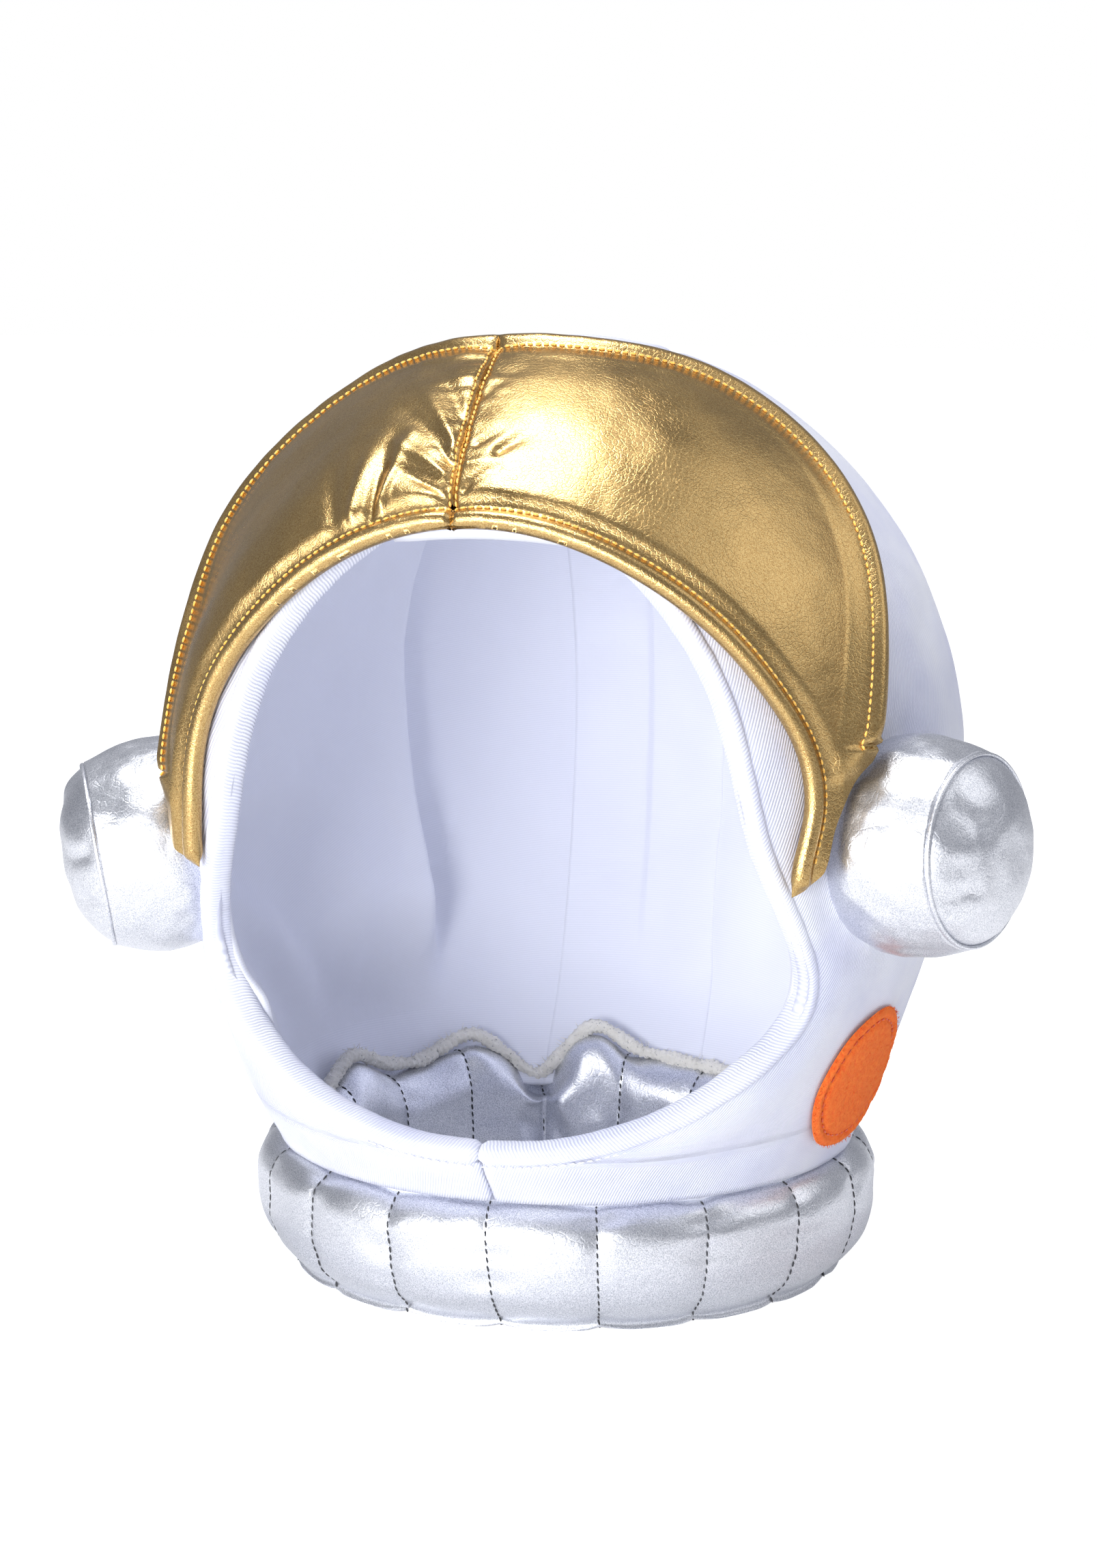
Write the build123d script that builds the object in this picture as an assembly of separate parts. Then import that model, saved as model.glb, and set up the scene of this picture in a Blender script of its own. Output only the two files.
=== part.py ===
from build123d import *
import math
import os

# Soft astronaut costume helmet: a padded white hood on a quilted silver neck ring,
# with a padded gold visor that tips forward and a stuffed silver pod over each ear.
# Millimetres, +Z up. The face looks along -Y, so +X is the wearer's left.
# The helmet stands on the underside of its neck ring, at z = 0. Every piece is drawn
# about the hood's upright middle line and then moved by side_shift along X and by
# middle_shift along Y, which puts the origin under the middle of the whole helmet. One ear
# pod is sunk deeper than the other, so that middle lies a little beside the hood's own.
side_shift = -3.2
middle_shift = -12.5

# Hood: an egg, its upper part half an ellipsoid, its lower part lofted to the neck
hood_half_width = 156
hood_half_depth = 166
crown_rise = 167
widest_level = 200
neck_level = 50
outer_cloth = 1.4
hood_foam = 7
lining_cloth = 1
layer_gap = 0.3
seam_gap = 0.3
# share of the way down to the neck, then shares of the half width and half depth
skirt_shares = (
    (0, 1, 1),
    (0.08, 0.998, 0.998),
    (0.233, 0.981, 0.98),
    (0.467, 0.925, 0.935),
    (0.667, 0.864, 0.875),
    (0.833, 0.814, 0.803),
    (1, 0.763, 0.693),
    (1.1, 0.735, 0.635),
)
crown_front_half_width = 40
crown_back_half_width = 34

# Face opening, an egg in front view, and the hem rolled round its edge
opening_low = 72
opening_high = 320
opening_half_width = 116
# share of the half width, then share of the height, from the chin to the brow
opening_shares = ((0.62, 0.06), (1, 0.235), (0.905, 0.485), (0.79, 0.7))
hem_width = 6.5
hem_proud = 0.8
hem_stitch_gap = 1

# Thread, as it lies on the cloth
thread = 0.8
thread_gap = 0.4

# Neck ring, quilted across into channels, its two ends joined at one seam near the back
ring_half_width = 125
ring_half_depth = 120
ring_thickness = 33
ring_height = 52
ring_corner = 14
ring_cloth = 1.2
channels = 18
channel_draw = 3.2
join_seam = 10
join_draw = 5
floor_cut = 0.5
overlock_radius = 3.2
overlock_half_width = 106.5
overlock_half_depth = 104.5

# Ear pods, stuffed drums that are drawn in where they meet the hood
pod_forward = 67
pod_splay = 23
pod_level_left = 187
pod_level_right = 173
pod_sink_left = 4
pod_sink_right = 11
pod_droop_left = -2
pod_droop_right = 9
pod_root_radius = 36
pod_root = 7
pod_shoulder_radius = 41
pod_shoulder = 6
pod_bulge_radius = 41
pod_bulge = 20
pod_seam_radius = 35.5
pod_depth = 38
pod_crown = 14
pod_cloth = 1.2
pod_ridge_radius = 1.4

# Felt patch, low on the wearer's left
patch_radius = 29
patch_felt = 2
patch_stitch_inset = 4.5
patch_forward = 50
patch_level = 82
patch_turn = 19
patch_dip = 18

# Visor, standing a little off the hood
visor_gap = 1.6
visor_lining = 1
visor_foam = 5
visor_cloth = 1.2
visor_end_forward = 118.5
visor_end_level = 174
visor_brow_forward = 140
visor_brow_level = 306
visor_pod_gap = 1.5
visor_topstitch = 7
visor_seam_stitch = 1.5
# back edge in side view: shares of the hood's half depth forward and of its rise
visor_back_shares = (
    (0.305, 1.06),
    (0.273, 1.01),
    (0.214, 0.958),
    (0.196, 0.88),
    (0.229, 0.737),
    (0.313, 0.575),
    (0.44, 0.371),
    (0.53, 0.174),
    (0.59, 0),
    (0.6, -0.18),
)

# Pivot: a tack through the hood on each side, and the washer that turns on it
pivot_forward = 112
pivot_level = 184
visor_tip_angle = 45
visor_swing_gap = 1.6
tack_radius = 1.5
tack_head_radius = 2.3
tack_head = 1.2
tack_head_depth = 5.7
tack_clearance = 0.2
pivot_clearance = 0.05
washer_radius = 4
washer_thickness = 2.4
washer_lift = 4

# Worked out from the sizes above
hood_thickness = outer_cloth + hood_foam + lining_cloth + 2 * layer_gap
ring_centre_radius = ring_half_width - ring_thickness / 2
ring_flattening = ring_half_depth / ring_half_width
channel_angle = 360 / channels
visor_foam_lift = visor_gap + visor_lining + layer_gap
visor_cloth_lift = visor_foam_lift + visor_foam + layer_gap
visor_top = visor_cloth_lift + visor_cloth
pod_seats = {
    1: (pod_level_left, pod_sink_left, pod_droop_left),
    -1: (pod_level_right, pod_sink_right, pod_droop_right),
}
reach = 2 * (widest_level + crown_rise)

# Plain helpers


def side_box(side, gap):
    # everything on one side of the middle, short of it by half a gap
    box = Box(reach, 2 * reach, 2 * reach)
    return Pos(side * (reach + gap) / 2, 0, 0) * box


def front_prism(outline):
    # a front view outline, carried forward from the middle
    return extrude(Plane.XZ * outline, reach)


def side_prism(outline):
    # a side view outline, carried both ways across the helmet
    return extrude(Plane.YZ * outline, reach, both=True)


def across(radius, start, end):
    # a round bar along X at the pivot, on the wearer's left
    bar = Cylinder(radius, end - start, align=(Align.CENTER, Align.CENTER, Align.MIN))
    return Plane(origin=(start, -pivot_forward, pivot_level), z_dir=(1, 0, 0)) * bar


def largest(shape):
    return max(shape.solids(), key=lambda solid: solid.volume)


def mirrored(shape):
    return mirror(shape, about=Plane.YZ)


def hood_side_at(forward):
    # how far out the hood's side lies, that far in front of the middle
    return hood_half_width * math.sqrt(1 - (forward / hood_half_depth) ** 2)


# Hood


def egg(lift):
    # the hood's outside, moved out by the lift
    width = hood_half_width + lift
    depth = hood_half_depth + lift
    rise = crown_rise + lift
    edge = EllipticalCenterArc((0, widest_level), width, rise, arc_size=90)
    base = Line((0, widest_level), (width, widest_level))
    upright = Line((0, widest_level + rise), (0, widest_level))
    quarter = make_face(Plane.XZ * (base + edge + upright))
    upper = scale(revolve(quarter, Axis.Z), by=(1, depth / width, 1))
    drop = widest_level - neck_level
    levels = []
    for down_share, width_share, depth_share in skirt_shares:
        oval = Ellipse(hood_half_width * width_share + lift, hood_half_depth * depth_share + lift)
        levels.append(Pos(0, 0, widest_level - drop * down_share) * oval)
    return upper + loft(levels)


def layer(low, high):
    return egg(high) - egg(low)


def opening_outline(inset):
    # the face opening's edge, drawn in all round by the inset
    half = opening_half_width - inset
    low = opening_low + inset
    height = opening_high - inset - low
    right = [(half * x, low + height * z) for x, z in opening_shares]
    left = [(-x, z) for x, z in reversed(right)]
    points = [(0, low)] + right + [(0, low + height)] + left
    return make_face(Spline(points, periodic=True))


def crown_prism(gap):
    # the gusset from the brow over the crown and down the nape, wider by the gap
    front = crown_front_half_width + gap
    back = crown_back_half_width + gap
    corners = [(front, -reach), (back, reach), (-back, reach), (-front, -reach)]
    plan = make_face(Polyline(*corners, close=True))
    prism = extrude(plan, reach)
    below_face = Pos(0, -reach / 2, 0) * Box(2 * reach, reach, 2 * widest_level - 2 * gap)
    return prism - below_face


def ring_section(angle, draw):
    # a slice through the ring's stuffing, drawn in all round
    turn = math.radians(angle)
    outward = (math.cos(turn), math.sin(turn), 0)
    along = (math.sin(turn), -math.cos(turn), 0)
    middle = Vector(*outward) * ring_centre_radius + Vector(0, 0, (ring_height - floor_cut) / 2)
    slice_face = RectangleRounded(
        ring_thickness - 2 * draw,
        ring_height + floor_cut - 2 * draw,
        ring_corner - draw,
    )
    return Plane(origin=middle, x_dir=outward, z_dir=along) * slice_face


def flattened(shape):
    return scale(shape, by=(1, ring_flattening, 1))


def seam_draw(number):
    # the join is drawn in deeper than the other seams
    return join_draw if number % channels == join_seam else channel_draw


def ring_body(inset):
    # the quilted ring, one crowned lobe to a channel, from the seam at the front
    lobes = []
    for number in range(channels):
        start = -90 + number * channel_angle
        lobes.append(
            loft(
                [
                    ring_section(start, seam_draw(number) + inset),
                    ring_section(start + channel_angle / 2, inset),
                    ring_section(start + channel_angle, seam_draw(number + 1) + inset),
                ]
            )
        )
    return flattened(lobes[0].fuse(*lobes[1:]))


def ring_envelope():
    # the plain ring round all the lobes, with the gap that the hood keeps from it
    return flattened(revolve(ring_section(0, -layer_gap), Axis.Z))


def neck_ring():
    floor = Pos(0, 0, -reach / 2) * Box(2 * reach, 2 * reach, reach)
    cover = ring_body(0) - ring_body(ring_cloth) - floor
    filling = ring_body(ring_cloth + layer_gap)
    loops = []
    for number in range(channels):
        angle = -90 + number * channel_angle
        inner_draw = seam_draw(number) - thread_gap
        loop = ring_section(angle, inner_draw - thread) - ring_section(angle, inner_draw)
        loops.append(flattened(extrude(loop, thread / 2, both=True)))
    return {
        "neck_ring_cover": cover,
        "neck_ring_filling": filling,
        "neck_ring_quilting": Compound(children=loops),
    }


def neck_overlock():
    # the fuzzy sewn edge that lies on the ring's crest inside the lining
    level = ring_height + layer_gap + overlock_radius
    ring = Pos(0, 0, level) * Torus(overlock_half_width, overlock_radius)
    return scale(ring, by=(1, overlock_half_depth / overlock_half_width, 1))


def hood_panels():
    foam_out = -outer_cloth - layer_gap
    lining_out = foam_out - hood_foam - layer_gap
    depths = {
        "shell": (-outer_cloth, 0),
        "foam": (foam_out - hood_foam, foam_out),
        "lining": (-hood_thickness, lining_out),
    }
    below_neck = Pos(0, 0, neck_level - reach / 2) * Box(2 * reach, 2 * reach, reach)
    face_hole = front_prism(opening_outline(-seam_gap))
    surface = hood_side_at(pivot_forward)
    head_start = surface - tack_head_depth
    head_end = head_start + tack_head
    tack_room = across(tack_radius + tack_clearance, head_start, surface + visor_gap)
    head_room = across(tack_head_radius + layer_gap, head_start - layer_gap, head_end + layer_gap)
    pieces = {}
    for name, (low, high) in depths.items():
        cloth = layer(low, high) - ring_envelope() - below_neck - face_hole
        pieces[name + "_panel_crown"] = cloth & crown_prism(0)
        left = (cloth & side_box(1, seam_gap)) - crown_prism(seam_gap)
        if name != "lining":
            left = left - tack_room - head_room
        pieces[name + "_panel_left"] = left
        pieces[name + "_panel_right"] = mirrored(left)
    return pieces


def face_hem():
    # the rolled edge, its two halves butted at the chin and under the visor
    band = layer(-hood_thickness - hem_proud, hem_proud)
    ring = front_prism(opening_outline(0) - opening_outline(hem_width))
    left = band & ring & side_box(1, seam_gap)
    stitch_out = -hem_stitch_gap - thread
    line = front_prism(opening_outline(stitch_out) - opening_outline(-hem_stitch_gap))
    stitch = layer(thread_gap, thread_gap + thread) & line & side_box(1, seam_gap)
    return {
        "face_hem_left": left,
        "face_hem_right": mirrored(left),
        "face_hem_stitching": Compound(children=[stitch, mirrored(stitch)]),
    }


# Ear pods


def pod_plane(side):
    # where a pod sits: sunk a little into the soft hood, its axis pointing out, forward and down
    level, sink, droop = pod_seats[side]
    splay = math.radians(pod_splay)
    dip = math.radians(droop)
    out = (side * math.cos(splay) * math.cos(dip), -math.sin(splay) * math.cos(dip), -math.sin(dip))
    seat = Vector(side * hood_side_at(pod_forward), -pod_forward, level) - Vector(*out) * sink
    return Plane(origin=seat, x_dir=(math.sin(splay), side * math.cos(splay), 0), z_dir=out)


def pod_body(inset):
    # the whole stuffed drum about its own axis, drawn in by the inset
    side_points = [
        (pod_root_radius - inset, -pod_root),
        (pod_shoulder_radius - inset, pod_shoulder),
        (pod_bulge_radius - inset, pod_bulge),
        (pod_seam_radius - inset, pod_depth),
    ]
    rim = pod_seam_radius - inset
    crown = pod_crown - inset
    crown_radius = (rim**2 + crown**2) / (2 * crown)
    half_turn = math.asin(rim / crown_radius) / 2
    top = pod_depth + crown
    mid_point = (
        crown_radius * math.sin(half_turn),
        top - crown_radius * (1 - math.cos(half_turn)),
    )
    outline = Spline(side_points) + ThreePointArc(side_points[-1], mid_point, (0, top))
    outline += Polyline((0, top), (0, -pod_root), side_points[0])
    return revolve(make_face(Plane.XZ * outline), Axis.Z)


def ear_pod(name, side):
    skin = pod_body(0) - pod_body(pod_cloth)
    above = Pos(0, 0, pod_depth + reach / 2) * Box(reach, reach, reach)
    below = Pos(0, 0, pod_depth - seam_gap - reach / 2) * Box(reach, reach, reach)
    ridge_level = pod_depth + pod_ridge_radius
    ridge = Pos(0, 0, ridge_level) * Torus(pod_seam_radius, pod_ridge_radius)
    ridge = ridge - pod_body(pod_cloth)
    place = pod_plane(side)
    hood = egg(layer_gap)
    return {
        "ear_pod_band_" + name: (place * (skin & below)) - hood,
        "ear_pod_cap_" + name: place * ((skin & above) + ridge),
        "ear_pod_filling_" + name: (place * pod_body(pod_cloth + layer_gap)) - hood,
    }


def ear_pods():
    return ear_pod("left", 1) | ear_pod("right", -1)


# Felt patch


def patch_disc(radius):
    turn = math.radians(patch_turn)
    dip = math.radians(patch_dip)
    out = Vector(math.cos(turn) * math.cos(dip), -math.sin(turn) * math.cos(dip), -math.sin(dip))
    centre = Vector(hood_side_at(patch_forward), -patch_forward, patch_level)
    bar = Cylinder(radius, hood_half_width)
    return Plane(origin=centre, z_dir=out) * bar


def felt_patch():
    disc = layer(layer_gap, layer_gap + patch_felt) & patch_disc(patch_radius) & side_box(1, 0)
    stitch_radius = patch_radius - patch_stitch_inset
    line = patch_disc(stitch_radius) - patch_disc(stitch_radius - thread)
    felt_top = layer_gap + patch_felt + layer_gap
    stitch = layer(felt_top, felt_top + thread) & line & side_box(1, 0)
    return {"felt_patch": disc, "felt_patch_stitching": stitch}


# Visor


def visor_outline(front_inset, back_inset):
    # side view: a straight front edge that leans forward, and a curved back edge
    lean = (visor_brow_forward - visor_end_forward) / (visor_brow_level - visor_end_level)
    top_level = widest_level + crown_rise * visor_back_shares[0][1]
    top_forward = visor_end_forward + lean * (top_level - visor_end_level)
    back = []
    for forward_share, rise_share in visor_back_shares:
        forward = hood_half_depth * forward_share + back_inset
        back.append((-forward, widest_level + crown_rise * rise_share))
    front_top = (front_inset - top_forward, top_level)
    front_end = (front_inset - visor_end_forward, visor_end_level)
    sides = Spline(back) + Polyline(back[-1], front_end, front_top, back[0])
    return make_face(sides)


def tipped_back(shape):
    # the hood or a pod as the visor meets it when it is tipped right forward
    pivot = Axis((0, -pivot_forward, pivot_level), (1, 0, 0))
    return shape.rotate(pivot, -visor_tip_angle)


def visor_layer(low, high):
    band = layer(low, high) & side_prism(visor_outline(0, 0))
    return band & side_box(1, seam_gap)


def visor():
    surface = hood_side_at(pivot_forward)
    washer_start = surface + washer_lift
    washer_end = washer_start + washer_thickness
    pin_room = across(tack_radius + 2 * layer_gap, surface - hood_thickness, washer_end)
    washer_room = across(washer_radius + layer_gap, washer_start - layer_gap, washer_end + layer_gap)
    hole = across(tack_radius + pivot_clearance, washer_start, washer_end)
    washer = across(washer_radius, washer_start, washer_end) - hole
    lining = visor_layer(visor_gap, visor_gap + visor_lining)
    foam = visor_layer(visor_foam_lift, visor_foam_lift + visor_foam)
    left = {
        "visor_lining_left": lining - pin_room - washer_room,
        "visor_foam_left": foam - pin_room - washer_room,
        "visor_panel_left": visor_layer(visor_cloth_lift, visor_top),
    }
    # what the visor's ends keep clear of, at rest and tipped right forward
    hood_room = tipped_back(egg(visor_swing_gap))
    rooms = {}
    for side in (1, -1):
        pod = pod_plane(side) * pod_body(-visor_pod_gap)
        rooms[side] = pod + tipped_back(pod)
    pieces = {}
    for name, shape in left.items():
        relieved = shape - hood_room
        pieces[name] = relieved - rooms[1]
        pieces[name.replace("left", "right")] = mirrored(relieved) - rooms[-1]
    pieces["visor_washer_left"] = washer
    pieces["visor_washer_right"] = mirrored(washer)

    skin = layer(visor_top + layer_gap, visor_top + layer_gap + thread) - rooms[1] - rooms[-1]
    inset = visor_topstitch
    front_line = visor_outline(inset, 0) - visor_outline(inset + thread, 0)
    back_line = visor_outline(0, inset) - visor_outline(0, inset + thread)
    seam_out = visor_seam_stitch + thread
    seam_line = side_box(1, 2 * visor_seam_stitch) - side_box(1, 2 * seam_out)
    seam_span = side_prism(visor_outline(inset + 2 * thread, inset + 2 * thread))
    one_row = skin & seam_span & seam_line
    pieces["visor_front_topstitch"] = skin & side_prism(front_line)
    # where a pod covers the back edge the line ends, and no crumb of it stays beyond
    pieces["visor_back_topstitch"] = largest(skin & side_prism(back_line))
    pieces["visor_seam_topstitch"] = Compound(children=[one_row, mirrored(one_row)])
    return pieces


def pivot_tacks():
    surface = hood_side_at(pivot_forward)
    start = surface - tack_head_depth
    end = surface + washer_lift + washer_thickness
    tack = across(tack_radius, start, end) + across(tack_head_radius, start, start + tack_head)
    return {"pivot_tack_left": tack, "pivot_tack_right": mirrored(tack)}


# Everything, set over the origin and written out

pieces = {}
pieces.update(neck_ring())
pieces["neck_seam_overlock"] = neck_overlock()
pieces.update(hood_panels())
pieces.update(face_hem())
pieces.update(ear_pods())
pieces.update(felt_patch())
pieces.update(visor())
pieces.update(pivot_tacks())

os.makedirs("parts", exist_ok=True)
for node, shape in pieces.items():
    export_step(Pos(side_shift, middle_shift, 0) * shape, "parts/" + node + ".step")
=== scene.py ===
import math
import random

import bmesh
import bpy
import numpy as np
from mathutils import Matrix, Vector, noise


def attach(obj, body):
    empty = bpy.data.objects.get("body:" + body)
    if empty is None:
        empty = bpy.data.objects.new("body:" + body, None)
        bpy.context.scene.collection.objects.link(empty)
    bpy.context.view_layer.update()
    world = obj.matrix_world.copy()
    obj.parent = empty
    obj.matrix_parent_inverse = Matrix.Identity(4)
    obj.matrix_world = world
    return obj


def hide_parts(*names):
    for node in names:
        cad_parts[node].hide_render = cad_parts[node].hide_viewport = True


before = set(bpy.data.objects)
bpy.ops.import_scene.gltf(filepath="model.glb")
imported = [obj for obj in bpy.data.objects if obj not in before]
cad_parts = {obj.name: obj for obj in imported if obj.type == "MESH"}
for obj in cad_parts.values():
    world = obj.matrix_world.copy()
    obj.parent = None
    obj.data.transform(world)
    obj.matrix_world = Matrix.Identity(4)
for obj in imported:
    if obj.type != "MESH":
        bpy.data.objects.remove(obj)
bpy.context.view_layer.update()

# Soft astronaut costume helmet. The sizes below are millimetres about the hood's middle line,
# +X the wearer's left, the face towards -Y. inFrame carries them to the frame, in metres.
millimetre = 0.001
toMiddle = (-3.2, -12.5, 0)


def inFrame(points):
    return (np.asarray(points, float) + np.array(toMiddle)) * millimetre


# the camera, as the photograph was taken
camera = {
    "lens": 80.7,  # with 36 mm of sensor along the picture's long side
    "azimuth": 14.6,
    "elevation": 10.5,
    "distance": 1.4,
    "target": (-0.0107, -0.0125, 0.190),
}


def makeCamera(v):
    turn, lift = math.radians(v["azimuth"]), math.radians(v["elevation"])
    back = Vector((math.sin(turn) * math.cos(lift), -math.cos(turn) * math.cos(lift), math.sin(lift)))
    lens = bpy.data.cameras.new("photoCamera")
    lens.sensor_width = 36
    lens.lens = v["lens"]
    eye = bpy.data.objects.new("photoCamera", lens)
    eye.location = Vector(v["target"]) + back * v["distance"]
    eye.rotation_euler = back.to_track_quat("Z", "Y").to_euler()
    bpy.context.scene.collection.objects.link(eye)
    bpy.context.scene.camera = eye


makeCamera(camera)
print("camera set")


# materials
def hexColour(code):
    # sRGB hex to the linear colour that a shader takes
    parts = [int(code[i : i + 2], 16) / 255 for i in (1, 3, 5)]
    linear = [p / 12.92 if p <= 0.04045 else ((p + 0.055) / 1.055) ** 2.4 for p in parts]
    return (*linear, 1)


def addNode(tree, kind, values=None, links=None, **settings):
    # one node, with its settings, its values and what feeds it
    node = tree.nodes.new(kind)
    for name, value in settings.items():
        setattr(node, name, value)
    for name, value in (values or {}).items():
        node.inputs[name].default_value = value
    for name, socket in (links or {}).items():
        tree.links.new(socket, node.inputs[name])
    return node


def newMaterial(name, **surface):
    material = bpy.data.materials.new(name)
    material.use_nodes = True
    tree = material.node_tree
    tree.nodes.clear()
    shader = addNode(tree, "ShaderNodeBsdfPrincipled", surface)
    addNode(tree, "ShaderNodeOutputMaterial", links={"Surface": shader.outputs[0]})
    return material, tree, shader


def grey(share):
    return (share, share, share, 1)


def twoTones(tree, factor, low, high, start=0.0, end=1.0):
    # a ramp between two colours, in hex or as shares of white, from start to end of the factor
    ramp = addNode(tree, "ShaderNodeValToRGB", links={"Fac": factor})
    first, last = ramp.color_ramp.elements
    first.position, last.position = start, end
    first.color, last.color = (hexColour(c) if isinstance(c, str) else grey(c) for c in (low, high))
    return ramp.outputs["Color"]


def tinted(tree, shader, factor, low, high, start=0.0, end=1.0, socket="Base Color"):
    tree.links.new(twoTones(tree, factor, low, high, start, end), shader.inputs[socket])


def clothMeasure(tree, width, length, turn=0):
    # the cloth's own UV map, in metres, divided into threads of that width and length in mm
    where = addNode(tree, "ShaderNodeUVMap", uv_map="cloth")
    mapping = addNode(
        tree,
        "ShaderNodeMapping",
        {
            "Scale": (1 / (width * millimetre), 1 / (length * millimetre), 1),
            "Rotation": (0, 0, math.radians(turn)),
        },
        {"Vector": where.outputs[0]},
    )
    return mapping.outputs[0]


def grain(tree, size, detail=2.0, roughness=0.5):
    # noise with grains of that size in mm, on the piece's own coordinates
    where = addNode(tree, "ShaderNodeTexCoord")
    made = addNode(
        tree,
        "ShaderNodeTexNoise",
        {"Scale": 1 / (size * millimetre), "Detail": detail, "Roughness": roughness},
        {"Vector": where.outputs["Object"]},
    )
    return made.outputs["Fac"]


def bumped(tree, shader, height, depth, strength=1.0, before=None):
    # height is 0 to 1, depth is what that is in mm
    feed = {"Height": height}
    if before:
        feed["Normal"] = before
    bump = addNode(tree, "ShaderNodeBump", {"Strength": strength, "Distance": depth * millimetre}, feed)
    tree.links.new(bump.outputs[0], shader.inputs["Normal"])
    return bump.outputs[0]


def ribs(tree, spacing, turn):
    # the raised lines of a twill or a knit, spacing in mm, turned from the cloth's length
    where = clothMeasure(tree, spacing, spacing, turn)
    wave = addNode(
        tree,
        "ShaderNodeTexWave",
        {"Scale": 1 / 3.2, "Distortion": 0.35, "Detail": 1.0, "Detail Scale": 2.0},
        {"Vector": where},
        wave_type="BANDS",
        bands_direction="X",
        wave_profile="SIN",
    )
    return wave.outputs["Fac"]


def makeTwill():
    # polyester-cotton twill, woven in fine raised diagonals: matt, cool white, with soft shaded ribs
    sheen = {"Sheen Weight": 0.25, "Sheen Roughness": 0.4}
    material, tree, shader = newMaterial("whiteTwill", Roughness=0.82, **sheen)
    lines = ribs(tree, 1.25, 24)  # real ribs lie about 1 mm apart, drawn a little coarser to show
    shade = twoTones(tree, lines, "#d4d7e6", "#eceef8", 0.1, 0.75)
    stain = twoTones(tree, grain(tree, 38, 3), "#eeeffa", "#ffffff", 0.35, 0.65)
    mix = addNode(tree, "ShaderNodeMix", {"Factor": 1.0}, data_type="RGBA", blend_type="MULTIPLY")
    tree.links.new(shade, mix.inputs[6])
    tree.links.new(stain, mix.inputs[7])
    tree.links.new(mix.outputs[2], shader.inputs["Base Color"])
    first = bumped(tree, shader, lines, 0.22, 0.8)
    bumped(tree, shader, grain(tree, 0.7), 0.12, 0.5, first)
    return material


def makeLining():
    # polyester tricot, warp knitted: smoother and a little shiny, with hair-fine wales
    sheen = {"Sheen Weight": 0.35, "Sheen Roughness": 0.35}
    material, tree, shader = newMaterial("liningTricot", Roughness=0.6, **sheen)
    lines = ribs(tree, 1.0, 90)  # real wales are under half a millimetre apart, drawn coarser to show
    # painted shade: the wales' hollows are tinted a little darker than their crests
    tinted(tree, shader, lines, "#e6e9f6", "#eef0fc")
    first = bumped(tree, shader, lines, 0.035, 0.5)
    bumped(tree, shader, grain(tree, 9, 3), 0.5, 0.35, first)
    return material


def makeLame(name, dark, light, shine, grainSize, creases):
    # foil-coated knit: a metal film broken into specks by the yarns under it, so that it glitters,
    # and crazed by fine creases as leather is
    material, tree, shader = newMaterial(name, Metallic=1.0)
    specks = grain(tree, grainSize, 3, 0.65)
    tinted(tree, shader, specks, dark, light, 0.36, 0.6)
    tinted(tree, shader, grain(tree, 26, 3), shine - 0.05, shine + 0.08, 0.3, 0.7, "Roughness")
    where = addNode(tree, "ShaderNodeTexCoord")
    cells = addNode(
        tree,
        "ShaderNodeTexVoronoi",
        {"Scale": 1 / (creases * millimetre)},
        {"Vector": where.outputs["Object"]},
        feature="DISTANCE_TO_EDGE",
    )
    crazing = twoTones(tree, cells.outputs["Distance"], 0, 1, 0.0, 0.14)
    first = bumped(tree, shader, crazing, 0.06, 0.6)
    second = bumped(tree, shader, specks, 0.07, 0.8, first)
    bumped(tree, shader, grain(tree, 2.6 * creases, 2, 0.5), 0.22, 0.5, second)
    return material


def makeThread(name, dark, light):
    # spun polyester sewing thread, two plies twisted together: a soft shine along the twist
    material, tree, shader = newMaterial(name, Roughness=0.5, **{"Sheen Weight": 0.3})
    tinted(tree, shader, grain(tree, 0.5), dark, light, 0.35, 0.65)
    bumped(tree, shader, grain(tree, 0.35), 0.15, 0.6)
    return material


def makeFelt():
    # needle-punched polyester felt: no weave, matted fibres, with a painted highlight that makes them paler
    # where they stand up
    sheen = {"Sheen Weight": 0.5, "Sheen Roughness": 0.6}
    material, tree, shader = newMaterial("orangeFelt", Roughness=0.95, **sheen)
    shader.inputs["Sheen Tint"].default_value = hexColour("#ff9a52")
    fibres = grain(tree, 1.6, 6, 0.75)
    # painted highlight: the raised fibres are coloured paler orange
    tinted(tree, shader, fibres, "#f4540f", "#ff8230", 0.36, 0.62)
    first = bumped(tree, shader, fibres, 0.8, 0.8)
    bumped(tree, shader, grain(tree, 0.5, 3), 0.3, 0.7, first)
    return material


def makeYarn():
    # bulked nylon overlock yarn: crimped, fuzzy and off-white, with painted shade that greys it in its
    # hollows
    material, tree, shader = newMaterial("overlockYarn", Roughness=0.9, **{"Sheen Weight": 0.5})
    fluffAndShade = grain(tree, 1.4, 5, 0.7)
    # painted shade: the low parts of the fluff are coloured dark grey
    tinted(tree, shader, fluffAndShade, "#85868b", "#fbf8f0", 0.3, 0.41)
    bumped(tree, shader, fluffAndShade, 0.9, 0.9)
    return material


def makeNylon(name, dark, light):
    # moulded nylon, for a small hidden part: nearly even, with a fine grain
    material, tree, shader = newMaterial(name)
    tinted(tree, shader, grain(tree, 0.6, 3), dark, light, 0.35, 0.65)
    tinted(tree, shader, grain(tree, 2.4), 0.34, 0.48, 0.3, 0.7, "Roughness")
    bumped(tree, shader, grain(tree, 0.6), 0.1, 0.5)
    return material


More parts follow.
